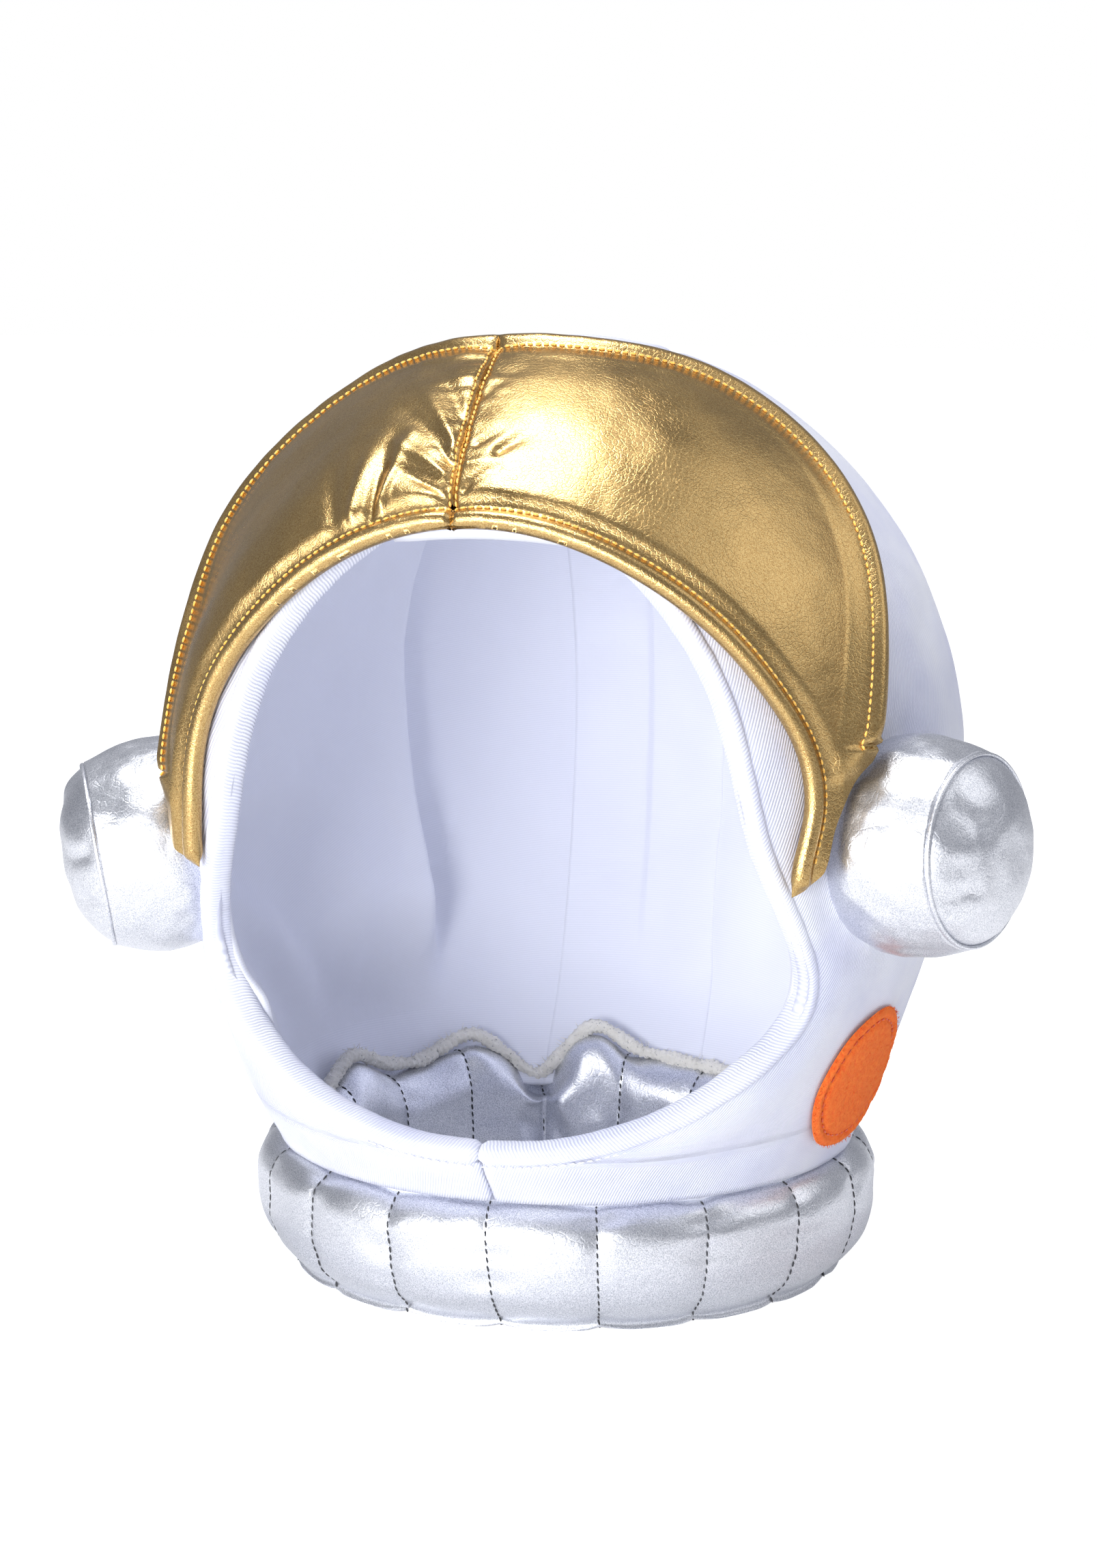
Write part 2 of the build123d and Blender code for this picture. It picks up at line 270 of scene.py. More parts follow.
cloths = {
    "white_twill": makeTwill(),
    "white_lining": makeLining(),
    "silver_lame": makeLame("silverLame", "#b6bac3", "#f4f5fa", 0.37, 0.42, 3.0),
    "gold_lame": makeLame("goldLame", "#a5804c", "#cfb27a", 0.27, 0.42, 1.9),
    "overlock_yarn": makeYarn(),
    "dark_thread": makeThread("blackThread", "#1b1c20", "#3a3c42"),
    "white_thread": makeThread("whiteThread", "#d9dae4", "#ffffff"),
    "yellow_thread": makeThread("amberThread", "#f2a92a", "#ffd876"),
    "orange_felt": makeFelt(),
    "orange_thread": makeThread("orangeThread", "#c23d08", "#ef5a14"),
    "tack": makeNylon("nylonTack", "#d9dae0", "#eeeff4"),
}
print("materials made")


# mesh helpers
def limited(share):
    return np.clip(share, 0, 1)


def packed(*parts):
    # points, or other rows of numbers, from their separate coordinates
    return np.stack(parts, axis=-1)


def unit(vectors):
    return vectors / np.linalg.norm(vectors, axis=-1, keepdims=True)


def smoothThrough(points, closed=False, steps=40):
    # a curve with an even bend through all the points, as a fine run of points along it
    points = np.array(points, float)
    if closed:
        points = np.vstack([points, points[:1]])
    gaps = np.linalg.norm(np.diff(points, axis=0), axis=1)
    count = len(points)
    system = np.zeros((count, count))
    right = np.zeros((count, points.shape[1]))
    slopes = np.diff(points, axis=0) / gaps[:, None]
    for i in range(1, count - 1):
        system[i, i - 1 : i + 2] = gaps[i - 1], 2 * (gaps[i - 1] + gaps[i]), gaps[i]
        right[i] = 6 * (slopes[i] - slopes[i - 1])
    system[0, 0] = 1
    if closed:
        system[0, -1] = -1
        system[-1, 0], system[-1, 1] = 2 * gaps[0], gaps[0]
        system[-1, -2], system[-1, -1] = gaps[-1], 2 * gaps[-1]
        right[-1] = 6 * (slopes[0] - slopes[-1])
    else:
        system[-1, -1] = 1
    bends = np.linalg.solve(system, right)
    run = []
    near = np.linspace(0, 1, steps, endpoint=False)[:, None]
    far = 1 - near
    for i in range(count - 1):
        bend = (far**3 - far) * bends[i] + (near**3 - near) * bends[i + 1]
        run.append(far * points[i] + near * points[i + 1] + gaps[i] ** 2 / 6 * bend)
    return np.vstack(run + [points[-1:]])


def lengthsAlong(points, axis=0):
    # how far along each point of a run lies
    steps = np.linalg.norm(np.diff(points, axis=axis), axis=-1)
    start = np.zeros_like(np.take(steps, [0], axis=axis))
    return np.concatenate([start, np.cumsum(steps, axis=axis)], axis=axis)


def between(far, run, at):
    # what the run comes to at some distance along it
    return packed(*(np.interp(at, far, row) for row in run.T))


def evenRun(points, count, closed=False):
    # the run again, as that many points evenly spaced
    far = lengthsAlong(points)
    return between(far, points, np.linspace(0, far[-1], count, endpoint=not closed))


def step(value, start, end):
    # 0 before start, 1 after end, smooth between
    share = limited((np.asarray(value, float) - start) / (end - start))
    return share * share * (3 - 2 * share)


def spanned(value, foot, low, high, top):
    # 0 up to foot, 1 from low to high and 0 again from top on
    return step(value, foot, low) * step(value, top, high)


def bell(value, width):
    return np.exp(-((np.asarray(value, float) / width) ** 2))


def waves(points, size, seed=0.0, octaves=2):
    # soft noise of that size in mm at each point, about -1 to 1
    flat = np.asarray(points, float).reshape(-1, 3) / size + seed
    values = [noise.fractal(Vector(p), 1.0, 2.0, octaves) for p in flat]
    return np.array(values).reshape(np.asarray(points).shape[:-1])


def uneven(points, parts):
    # soft noises added up: height, size and seed of each
    return sum(height * waves(points, size, seed) for height, size, seed in parts)


def alongWaves(values, size, seed=0.0):
    # soft noise along one measure, about -1 to 1
    flat = np.asarray(values, float)
    made = [noise.noise(Vector((v / size, seed, seed * 0.7))) for v in flat.ravel()]
    return np.array(made).reshape(flat.shape)


def clothGrid(columns, rows, place):
    # a flat grid carried to where place puts it, with the cloth's own measure as its UV map
    mesh = bmesh.new()
    bmesh.ops.create_grid(mesh, x_segments=columns, y_segments=rows, size=0.5)
    across, along = np.meshgrid(np.linspace(0, 1, columns + 1), np.linspace(0, 1, rows + 1), indexing="ij")
    points, measure = place(across, along)
    points = inFrame(points)
    flat = np.array([v.co.xy for v in mesh.verts]) + 0.5
    column = np.rint(flat[:, 0] * columns).astype(int)
    row = np.rint(flat[:, 1] * rows).astype(int)
    for vertex, i, j in zip(mesh.verts, column, row):
        vertex.co = points[i, j]
    uv = mesh.loops.layers.uv.new("cloth")
    for face in mesh.faces:
        for loop in face.loops:
            k = loop.vert.index
            loop[uv].uv = measure[column[k], row[k]] * millimetre
    return mesh


def turnOutward(mesh, middle=(0, 0, 190), outward=True):
    # an open sheet is turned so that its right side faces away from the middle
    mesh.normal_update()
    middle = Vector(inFrame(middle))
    facing = sum(f.normal.dot(f.calc_center_median() - middle) * f.calc_area() for f in mesh.faces)
    if (facing > 0) != outward:
        bmesh.ops.reverse_faces(mesh, faces=mesh.faces)


def welded(mesh, distance=0.02):
    # doubles merged, openings closed, every face outward
    bmesh.ops.remove_doubles(mesh, verts=mesh.verts, dist=distance * millimetre)
    bmesh.ops.dissolve_degenerate(mesh, edges=mesh.edges, dist=distance * millimetre / 10)
    rims = [e for e in mesh.edges if e.is_boundary]
    if rims:
        bmesh.ops.holes_fill(mesh, edges=rims, sides=0)
    bmesh.ops.recalc_face_normals(mesh, faces=mesh.faces)
    return mesh


def makePiece(name, mesh, slot, body, nodes=(), wall=None):
    # the object, its cloth, the body that it rides on and the CAD solids that it stands for
    data = bpy.data.meshes.new(name)
    mesh.to_mesh(data)
    mesh.free()
    data.shade_smooth()
    piece = bpy.data.objects.new(name, data)
    bpy.context.scene.collection.objects.link(piece)
    data.materials.append(cloths[slot])
    if wall:
        solid = piece.modifiers.new("cloth", "SOLIDIFY")
        solid.thickness = wall * millimetre
        solid.offset = -1
        solid.use_even_offset = False
    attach(piece, body)
    if nodes:
        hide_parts(*nodes)
    return piece


def unevenAlong(values, parts):
    return sum(height * alongWaves(values, size, seed) for height, size, seed in parts)


def addStitches(mesh, points, normals, length, gap, thick, sink=0.35, slant=0.0, seed=1):
    # separate short threads along a run: each dips into the cloth at its two ends
    draw = random.Random(seed)
    far = lengthsAlong(points)
    place = gap / 2
    while place + length < far[-1]:
        at = place + length / 2 + draw.uniform(-0.12, 0.12)
        ahead = Vector(between(far, points, at + 0.5) - between(far, points, at - 0.5)).normalized()
        up = Vector(between(far, normals, at)).normalized()
        side = up.cross(ahead).normalized()
        up = ahead.cross(side)
        ahead = (ahead + side * (slant + draw.uniform(-0.05, 0.05))).normalized()
        side = up.cross(ahead).normalized()
        turn = Matrix((side, ahead, up)).transposed().to_4x4()
        centre = Vector(inFrame(between(far, points, at))) + up * thick * (0.5 - sink) * millimetre
        size = (thick / 2, length / 2 * draw.uniform(0.93, 1.04), thick / 2)
        shape = Matrix.Diagonal([s * millimetre for s in size]).to_4x4()
        bmesh.ops.create_uvsphere(
            mesh, u_segments=6, v_segments=5, radius=1, matrix=Matrix.Translation(centre) @ turn @ shape
        )
        place += length + gap


def addFibre(mesh, base, lean, reach, thick, thin, sides):
    # one loose fibre, base in the frame's metres and the rest in mm
    turned = lean.to_track_quat("Z", "Y").to_matrix().to_4x4()
    reach = reach * millimetre
    bmesh.ops.create_cone(
        mesh, cap_ends=True, segments=sides, radius1=thick * millimetre, radius2=thin * millimetre,
        depth=reach, matrix=Matrix.Translation(base) @ turned @ Matrix.Translation((0, 0, reach / 2)),
    )


def quarterRound(share):
    # the height of a quarter circle, from 0 at its foot to 1 at its top
    return np.sqrt(limited(1 - (1 - limited(share)) ** 2))


def folds(a, s, runs):
    # ridges and hollows along straight runs: start, end, width and height, all mm on the cloth
    total = np.zeros_like(a)
    for a0, s0, a1, s1, width, height in runs:
        dx, dy = a1 - a0, s1 - s0
        share = ((a - a0) * dx + (s - s0) * dy) / (dx * dx + dy * dy)
        held = limited(share)
        away = np.hypot(a - a0 - held * dx, s - s0 - held * dy)
        total += height * bell(away, width * (0.55 + 0.6 * held)) * (1 - 0.75 * held)
    return total


# the hood's shape, shared by all that lies on it
hood = {
    "halfWidth": 156,
    "halfDepth": 166,
    "rise": 167,
    "widest": 200,
    "neck": 50,
    "thickness": 10,
    "crownHalf": 37,  # the crown gusset's half width
    # share of the way down to the neck, then shares of the half width and half depth
    "skirt": (
        (0, 1, 1), (0.08, 0.998, 0.998), (0.233, 0.981, 0.98), (0.467, 0.925, 0.935),
        (0.667, 0.864, 0.875), (0.833, 0.814, 0.803), (1, 0.763, 0.693), (1.1, 0.735, 0.635),
    ),
}
opening = {
    "low": 72,
    "high": 320,
    "halfWidth": 116,
    "shares": ((0.62, 0.06), (1, 0.235), (0.905, 0.485), (0.79, 0.7)),
}
skirtRun = smoothThrough(hood["skirt"])
tiny = 1e-6


def hoodHalves(level, lift=0):
    # the hood's half width and half depth at a level
    level = np.asarray(level, float)
    above = np.maximum(level - hood["widest"], 0) / (hood["rise"] + lift)
    dome = np.sqrt(np.clip(1 - above**2, 0, None))
    down = np.clip((hood["widest"] - level) / (hood["widest"] - hood["neck"]), 0, 1.1)
    width = hood["halfWidth"] * np.interp(down, skirtRun[:, 0], skirtRun[:, 1]) + lift
    depth = hood["halfDepth"] * np.interp(down, skirtRun[:, 0], skirtRun[:, 2]) + lift
    return width * dome, depth * dome


def onHood(around, level, lift=0):
    # around is the angle from the middle of the face towards the wearer's left
    width, depth = hoodHalves(level, lift)
    return packed(width * np.sin(around), -depth * np.cos(around), level + 0 * width)


def hoodNormal(points):
    # straight out of the hood at each point
    points = np.asarray(points, float)
    level = points[..., 2]
    width, depth = hoodHalves(level)
    slope = (hoodHalves(level - 1)[0] - hoodHalves(level + 1)[0]) / 2
    across = points[..., 0] / np.maximum(width, 1) ** 2
    along = points[..., 1] / np.maximum(depth, 1) ** 2
    out = packed(across, along, 0 * level)
    flat = np.linalg.norm(out, axis=-1, keepdims=True)
    out = out / np.maximum(flat, tiny)
    out[..., 2] = slope
    return unit(out)


def openingRun(inset, steps=60):
    # the face opening's edge in front view, drawn in by the inset, from the chin round by the left
    half = opening["halfWidth"] - inset
    low = opening["low"] + inset
    height = opening["high"] - inset - low
    left = [(half * x, low + height * z) for x, z in opening["shares"]]
    right = [(-x, z) for x, z in reversed(left)]
    return smoothThrough([(0, low)] + left + [(0, low + height)] + right, closed=True, steps=steps)


edgeRun = openingRun(0)
leftEdge = edgeRun[: len(edgeRun) // 2 + 1]


def openingHalf(level):
    # how far out the opening's edge is at a level, and nothing above or below it
    return np.interp(level, leftEdge[:, 1], leftEdge[:, 0], left=0, right=0)


def awayFromOpening(points):
    # how far each point is from the opening's edge in front view, and how far round it
    flat = points.reshape(-1, 3)[:, (0, 2)]
    run = evenRun(edgeRun, 500, closed=True)
    far = np.linalg.norm(flat[:, None, :] - run[None, :, :], axis=2)
    nearest = far.argmin(axis=1)
    shape = points.shape[:-1]
    away = far[np.arange(len(flat)), nearest].reshape(shape)
    away = np.where(points[..., 1] > 0, 400, away)
    return away, (nearest * lengthsAlong(edgeRun)[-1] / 500).reshape(shape)


podPlaces = {
    "left": {"side": 1, "level": 187, "sink": 4, "droop": -2},
    "right": {"side": -1, "level": 173, "sink": 11, "droop": 9},
}
podSeat = {"forward": 67, "splay": 23}


def podAxes(name):
    # the pod's seat on the hood, and its own three directions
    v = podPlaces[name]
    splay, dip = math.radians(podSeat["splay"]), math.radians(v["droop"])
    level = math.cos(dip)
    out = Vector((v["side"] * math.cos(splay) * level, -math.sin(splay) * level, -math.sin(dip)))
    ahead = Vector((math.sin(splay), v["side"] * math.cos(splay), 0))
    half = hood["halfWidth"] * math.sqrt(1 - (podSeat["forward"] / hood["halfDepth"]) ** 2)
    seat = Vector((v["side"] * half, -podSeat["forward"], v["level"])) - out * v["sink"]
    return seat, ahead, out.cross(ahead), out


def awayFromPod(points, name):
    # how far each point is from the pod's axis
    seat, out = (np.array(podAxes(name)[i]) for i in (0, 3))
    rest = points - seat
    return np.linalg.norm(rest - (rest @ out)[..., None] * out, axis=-1)


# under the visor the wearer's right side of the hood is pressed in, the deeper the lower
pressed = {
    "depth": 4,
    "deeper": ((4, 312, 256), (4.5, 256, 206)),  # how much more, and between which levels
    "sideways": (20, 90),
    "levels": (150, 182),
    "forward": (-70, 20, 78, 112),
}


def pressedIn(points):
    x, forward, level = points[..., 0], -points[..., 1], points[..., 2]
    depth = pressed["depth"]
    for more, start, end in pressed["deeper"]:
        depth = depth + more * step(level, start, end)
    depth = depth * step(-x, *pressed["sideways"]) * step(level, *pressed["levels"])
    return depth * spanned(forward, *pressed["forward"])


# hood: outer twill panels, loose lining, both padded by the foam between
panels = {
    "columns": 200,
    "rows": 150,
    "lap": 2.6,  # how far a side panel runs under the crown's edge
    "seamDepth": 2.0,
    "pad": 4.6,  # what each of the two faces carries of the foam
    "liningLow": 38,  # the lining runs down into the ring that it is sewn to
    "underHem": 1.2,  # how far a panel's edge runs in under the hem
    "seamGap": 0.12,  # half the gap at the chin seam
    "drawn": (56, 84),  # levels over which the crown seams start to draw in
    "sharp": (290, 320),  # and over which they turn crisp
}
twill = {
    "slack": ((0.9, 70, 3.1), (0.35, 22, 8.4)),
    "hemHollow": (1.5, 2.4),  # depth and width
    "hemRise": (0.7, 9, 6),  # height, distance from the hem and width
    "puckers": (0.35, 8.5, 9),  # height, length, and how far they run in from the hem
    "chinSeam": (1.8, 1.6, 90),  # depth, width, and the level that it runs up to
    "rollIn": (3.2, 84, 48),  # depth, and the levels from and to, over the ring
    "podGathers": (0.5, 0.28, 46, 14),  # height, pitch in radians, distance from the axis, width
    "podHollow": (1.3, 40, 7),  # depth, distance, width
}
lining = {
    "slack": ((1.6, 52, 4.4), (0.8, 24, 7.4)),
    "lobes": 2.0,
    # the side lining bulges in on the wearer's right, and ends towards the back in a steep edge
    "bulge": {"height": 26, "degrees": -134, "lean": 0.03, "from": 230, "levels": (66, 120, 300, 348)},
    "besideBulge": (7, 16, 9, (230, 300, 320, 352)),  # height, degrees behind the edge, width, levels
    "backLobe": (8, 158, 20, (60, 130, 250, 330)),  # height, degrees round, width, levels
    # folds above the ring: height, degrees round, their lean and from what level, width, then the
    # level and height over which each lies
    "folds": (
        (9, -70, 0.25, 90, 7, 100, 32), (7, -52, 0.2, 100, 5, 96, 26), (6, -88, 0.35, 110, 6, 120, 36),
    ),
}


def panelLevels(v, top, low):
    # levels that are evenly spaced along the hood's side
    lower, upper = 158, 235
    far = v * (lower + upper)
    angle = limited((far - lower) / upper) * math.acos(top / hood["halfWidth"])
    below = low + far * (hood["widest"] - low) / lower
    return np.where(far < lower, below, hood["widest"] + hood["rise"] * np.sin(angle))


def outerLift(points, away, alongEdge):
    # how the twill rises and dips: seams, puckers along the hem, soft slack
    x, y, level = np.moveaxis(points, -1, 0)
    lift = uneven(points, twill["slack"])
    depth, width = twill["hemHollow"]
    lift -= depth * bell(away, width)
    height, middle, width = twill["hemRise"]
    lift += height * bell(away - middle, width)
    height, length, reach = twill["puckers"]
    lift += height * unevenAlong(alongEdge, ((1, length, 5.0), (0.5, length / 2, 9.0))) * bell(away, reach)
    depth, width, top = twill["chinSeam"]
    lift -= depth * bell(np.where(y < 0, x, 99), width) * (level < top)
    depth, start, end = twill["rollIn"]
    lift -= depth * step(level, start, end) + pressedIn(points)
    for name, place in podPlaces.items():
        near = awayFromPod(points, name)
        spokes = np.arctan2(level - place["level"], y + podSeat["forward"])
        height, pitch, middle, width = twill["podGathers"]
        pull = height * alongWaves(spokes, pitch, 2.0) * bell(near - middle, width)
        depth, middle, width = twill["podHollow"]
        lift += (pull - depth * bell(near - middle, width)) * (x * place["side"] > 0)
    return lift


def liningLift(points, away):
    # the lining hangs a little loose off the foam, in long soft lobes that run down to the neck
    level = points[..., 2]
    around = np.degrees(np.arctan2(points[..., 0], -points[..., 1]))
    lobes = alongWaves(around, 34, 6.2) + 0.45 * alongWaves(around + 0.12 * level, 13, 1.7)
    lift = lining["lobes"] * lobes * spanned(level, 52, 90, 150, 300)
    lift = (lift + uneven(points, lining["slack"])) * step(away, 2, 26)
    v = lining["bulge"]
    edge = around - v["degrees"] + v["lean"] * (v["from"] - level)
    lift += v["height"] * spanned(edge, -3, 4, 18, 62) * spanned(level, *v["levels"])
    height, behind, width, levels = lining["besideBulge"]
    lift += height * bell(edge + behind, width) * spanned(level, *levels)
    height, place, width, levels = lining["backLobe"]
    lift += height * bell(around - place, width) * spanned(level, *levels)
    for height, place, lean, foot, width, middle, tall in lining["folds"]:
        lift += height * bell(around - place - lean * (level - foot), width) * bell(level - middle, tall)
    return lift


def liningSeam(away, drawn, sharp):
    # how far the lining is drawn in towards the foam beside a crown seam
    return drawn * ((0.4 + 0.9 * sharp) * bell(away, 4) + 0.8 * (1 - sharp) * bell(away, 14))


def sidePanel(side, inner):
    top = hood["crownHalf"] - panels["lap"]
    depth = -hood["thickness"] if inner else 0

    def place(u, v):
        level = panelLevels(v, top, panels["liningLow"] if inner else hood["neck"])
        width = hoodHalves(level)[0]
        edge = np.where(level < hood["widest"] + 90, 0, top)
        first = np.maximum(openingHalf(level) - panels["underHem"], edge)
        first = np.where(level < opening["low"], panels["seamGap"], first)
        start = np.arcsin(limited(first / np.maximum(width, tiny)))
        finish = math.pi - np.arcsin(limited(top / np.maximum(width, tiny)))
        around = side * (start + (finish - start) * u)
        flat = onHood(around, level)
        away, alongEdge = awayFromOpening(flat)
        if inner:
            lift = depth - liningLift(flat, away) - pressedIn(flat)
        else:
            lift = outerLift(flat, away, alongEdge)
        # both layers are drawn into the foam along the crown's seams
        seam = np.where((flat[..., 1] > 0) | (level > 300), np.abs(flat[..., 0]) - hood["crownHalf"], 99)
        drawn, sharp = step(level, *panels["drawn"]), step(level, *panels["sharp"])
        if inner:
            lift += 0.15 + liningSeam(seam, drawn, sharp)
        else:
            lift -= panels["seamDepth"] * drawn * bell(seam, 3)
        points = flat + hoodNormal(flat) * lift[..., None]
        if not inner:
            points[..., 2] = np.maximum(points[..., 2], hood["neck"])
        measure = packed(around * 150, lengthsAlong(flat, axis=1))
        return points, measure

    mesh = clothGrid(panels["columns"], panels["rows"], place)
    turnOutward(mesh, outward=not inner)
    return mesh


def crownPanel(inner):
    # the gusset from the brow over the crown and down the nape
    half = hood["crownHalf"]
    angles = np.linspace(math.radians(40), math.pi, 200)
    over = [-hood["halfDepth"] * np.cos(angles), hood["widest"] + hood["rise"] * np.sin(angles)]
    over = packed(*over)
    levels = np.linspace(hood["widest"] - 1, panels["liningLow"] if inner else hood["neck"], 120)
    nape = packed(hoodHalves(levels)[1], levels)
    run = evenRun(np.vstack([over, nape]), 400)
    far = lengthsAlong(run)

    def place(u, v):
        x = (2 * u - 1) * half
        at = v * far[-1]
        y, z = np.interp(at, far, run[:, 0]), np.interp(at, far, run[:, 1])
        shrink = np.sqrt(1 - (x / hood["halfWidth"]) ** 2)
        high = z > hood["widest"]
        width, depth = hoodHalves(z)
        shrunkLow = depth * np.sqrt(1 - np.clip(x / np.maximum(width, 40), -1, 1) ** 2)
        back = np.where(high, y * shrink, shrunkLow)
        up = np.where(high, hood["widest"] + (z - hood["widest"]) * shrink, z)
        flat = packed(x, back, up)
        away, alongEdge = awayFromOpening(flat)
        edge = half - np.abs(x)
        drawn, sharp = step(z, *panels["drawn"]), step(z, *panels["sharp"])
        if inner:
            lift = -hood["thickness"] - liningLift(flat, away)
            lift += liningSeam(edge, drawn, sharp)
        else:
            lift = outerLift(flat, away, alongEdge) + 0.6 - 3.4 * drawn * bell(edge, 2)
        points = flat + hoodNormal(flat) * lift[..., None]
        return points, packed(x + 700, at + 0 * x)

    mesh = clothGrid(44, 260, place)
    turnOutward(mesh, outward=not inner)
    return mesh


sides = {"left": 1, "right": -1}
for name in ("left", "right", "crown"):
    outer, inner = (sidePanel(sides[name], under) if name in sides else crownPanel(under)
                    for under in (False, True))
    makePiece("hoodPanel_" + name, outer, "white_twill", "helmet",
              ["shell_panel_" + name, "foam_panel_" + name], wall=panels["pad"])
    makePiece("hoodLining_" + name, inner, "white_lining", "helmet",
              ["lining_panel_" + name], wall=panels["pad"])
print("hood panels and lining made")


# the hem rolled round the face opening
hem = {
    "width": 6.5,
    "proud": 0.9,
    "stitch": {"length": 2.6, "gap": 0.7, "thick": 0.75},
    "stitchOut": 2.2,  # from the hem's outer edge
    "plump": ((0.05, 14, 3.0), (0.03, 5, 7.0)),  # share that it swells by, over what length
    "wobble": ((0.5, 30, 11.0),),
    "endDraw": (0.35, 1.6),  # each half is drawn in where it butts against the other: share, length
    "groove": (0.13, 48, 0.14),  # the lining is sewn to it here: share, degrees round, width
}


def onEdge(inset, lift, count):
    # points round the opening at that inset, on the hood at that lift, with the way out of the hood
    flat = evenRun(openingRun(inset), count, closed=True)
    width, depth = hoodHalves(flat[:, 1], lift)
    y = -depth * np.sqrt(np.clip(1 - (flat[:, 0] / np.maximum(width, tiny)) ** 2, 0, None))
    points = packed(flat[:, 0], y, flat[:, 1])
    return points, hoodNormal(points)


def hemHalf(side):
    count = 720
    middle, out = onEdge(hem["width"] / 2, -hood["thickness"] / 2, count)
    ahead = np.roll(middle, -1, axis=0) - np.roll(middle, 1, axis=0)
    ahead = unit(ahead)
    inward = np.cross(out, ahead)
    # from the chin to the brow on one side
    order = np.arange(0, count // 2 + 1) if side > 0 else np.arange(0, -count // 2 - 1, -1)
    middle, out, inward = middle[order], out[order], inward[order]
    far = lengthsAlong(middle)

    def place(u, v):
        i = np.rint(u * (len(order) - 1)).astype(int)
        turn = v * 2 * math.pi
        rise, spread = np.sin(turn), np.cos(turn)
        tall = hood["thickness"] / 2 + hem["proud"]
        high = tall * np.sign(rise) * np.abs(rise) ** 0.75
        wide = hem["width"] / 2 * np.sign(spread) * np.abs(spread) ** 0.8
        at = far[i]
        draw, length = hem["endDraw"]
        ends = 1 - draw * (bell(at, length) + bell(far[-1] - at, length))
        depth, degrees, width = hem["groove"]
        groove = 1 - depth * bell(turn - math.radians(degrees), width)
        shape = ((1 + unevenAlong(at, hem["plump"])) * ends * groove)[..., None]
        points = middle[i] + (out[i] * high[..., None] + inward[i] * wide[..., None]) * shape
        points = points + inward[i] * unevenAlong(at, hem["wobble"])[..., None]
        # neither half crosses the chin seam
        near, x = bell(at, 3) > 0.3, points[..., 0]
        points[..., 0] = np.where(near, side * np.maximum(side * x, 0.1), x)
        return points, packed(at, turn * 4.5)

    mesh = clothGrid(len(order) - 1, 28, place)
    return welded(mesh)


for name, side in sides.items():
    makePiece("faceHem_" + name, hemHalf(side), "white_twill", "helmet", ["face_hem_" + name])

stitching = bmesh.new()
points, normals = onEdge(-hem["stitchOut"], -1.0, 900)
addStitches(stitching, points, normals, **hem["stitch"], seed=3)
makePiece("faceHemStitches", stitching, "white_thread", "helmet", ["face_hem_stitching"])
print("face hem made")


# neck ring, stuffed and quilted across
ring = {
    "halfWidth": 125,
    "halfDepth": 120,
    "middle": 108,  # radius of its middle line
    "thickness": 33,
    "height": 52,
    "corner": 16,
    "channels": 18,
    "draw": 1.9,
    "tuck": 8.5,  # how far the outer side draws in towards the floor
    "join": 10,  # the seam where the ring's two ends meet
    "joinDraw": 9.0,
    "sway": 0.045,  # how far a seam wanders from its radius, as a share of a channel
    "floor": 0.5,
    # where the inner crest rises or falls: degrees, width in degrees, height
    "crests": ((147, 14, -2), (187, 8, 10), (201, 6, -9), (218, 8, 8), (254, 10, 10), (273, 7, -4)),
    "stitch": {"length": 2.8, "gap": 0.55, "thick": 0.85, "sink": 0.2},
    "lobeHalf": 19,  # half a channel's width
    "puff": ((0.8, 24, 2.0),),  # the stuffing pushes each lobe out unevenly
    "creases": 1.2,  # short creases that run from the seams
    "joinFolds": 2.6,  # where the ring's two ends are joined, the cloth is pinched into folds
    "slack": (2.2, 296, 26),  # sags on the inside of the wearer's right: height, degrees, width
}


def roundedBox(wide, tall, corner, count):
    # a rounded rectangle as points from the middle of its outer side, and the ways out of it
    a, b = wide / 2 - corner, tall / 2 - corner
    turns = np.linspace(0, math.pi / 2, 24)
    quarter = packed(a + corner * np.cos(turns), b + corner * np.sin(turns))
    top = np.vstack([quarter, quarter[::-1] * (-1, 1)])
    whole = np.vstack([[(wide / 2, 0)], top, (top[::-1] * (1, -1)), [(wide / 2, 0)]])
    return evenRun(whole, count)


def ringSection(count):
    section = roundedBox(ring["thickness"], ring["height"] + ring["floor"], ring["corner"], count)
    ahead = np.gradient(section, axis=0)
    ahead[0] = ahead[-1] = (0, 1)
    ahead = unit(ahead)
    return section, packed(ahead[:, 1], -ahead[:, 0])


def crestRise(angle):
    # how far the stuffing lifts the ring's inner crest, in mm, against degrees round the ring
    total = np.zeros_like(np.asarray(angle, float))
    for place, width, height in ring["crests"]:
        total += height * bell(angle - place, width)
    return total


def seamSway(angle, share):
    return ring["sway"] * np.sin(2 * math.pi * share + 3 * np.sin(np.radians(angle)))


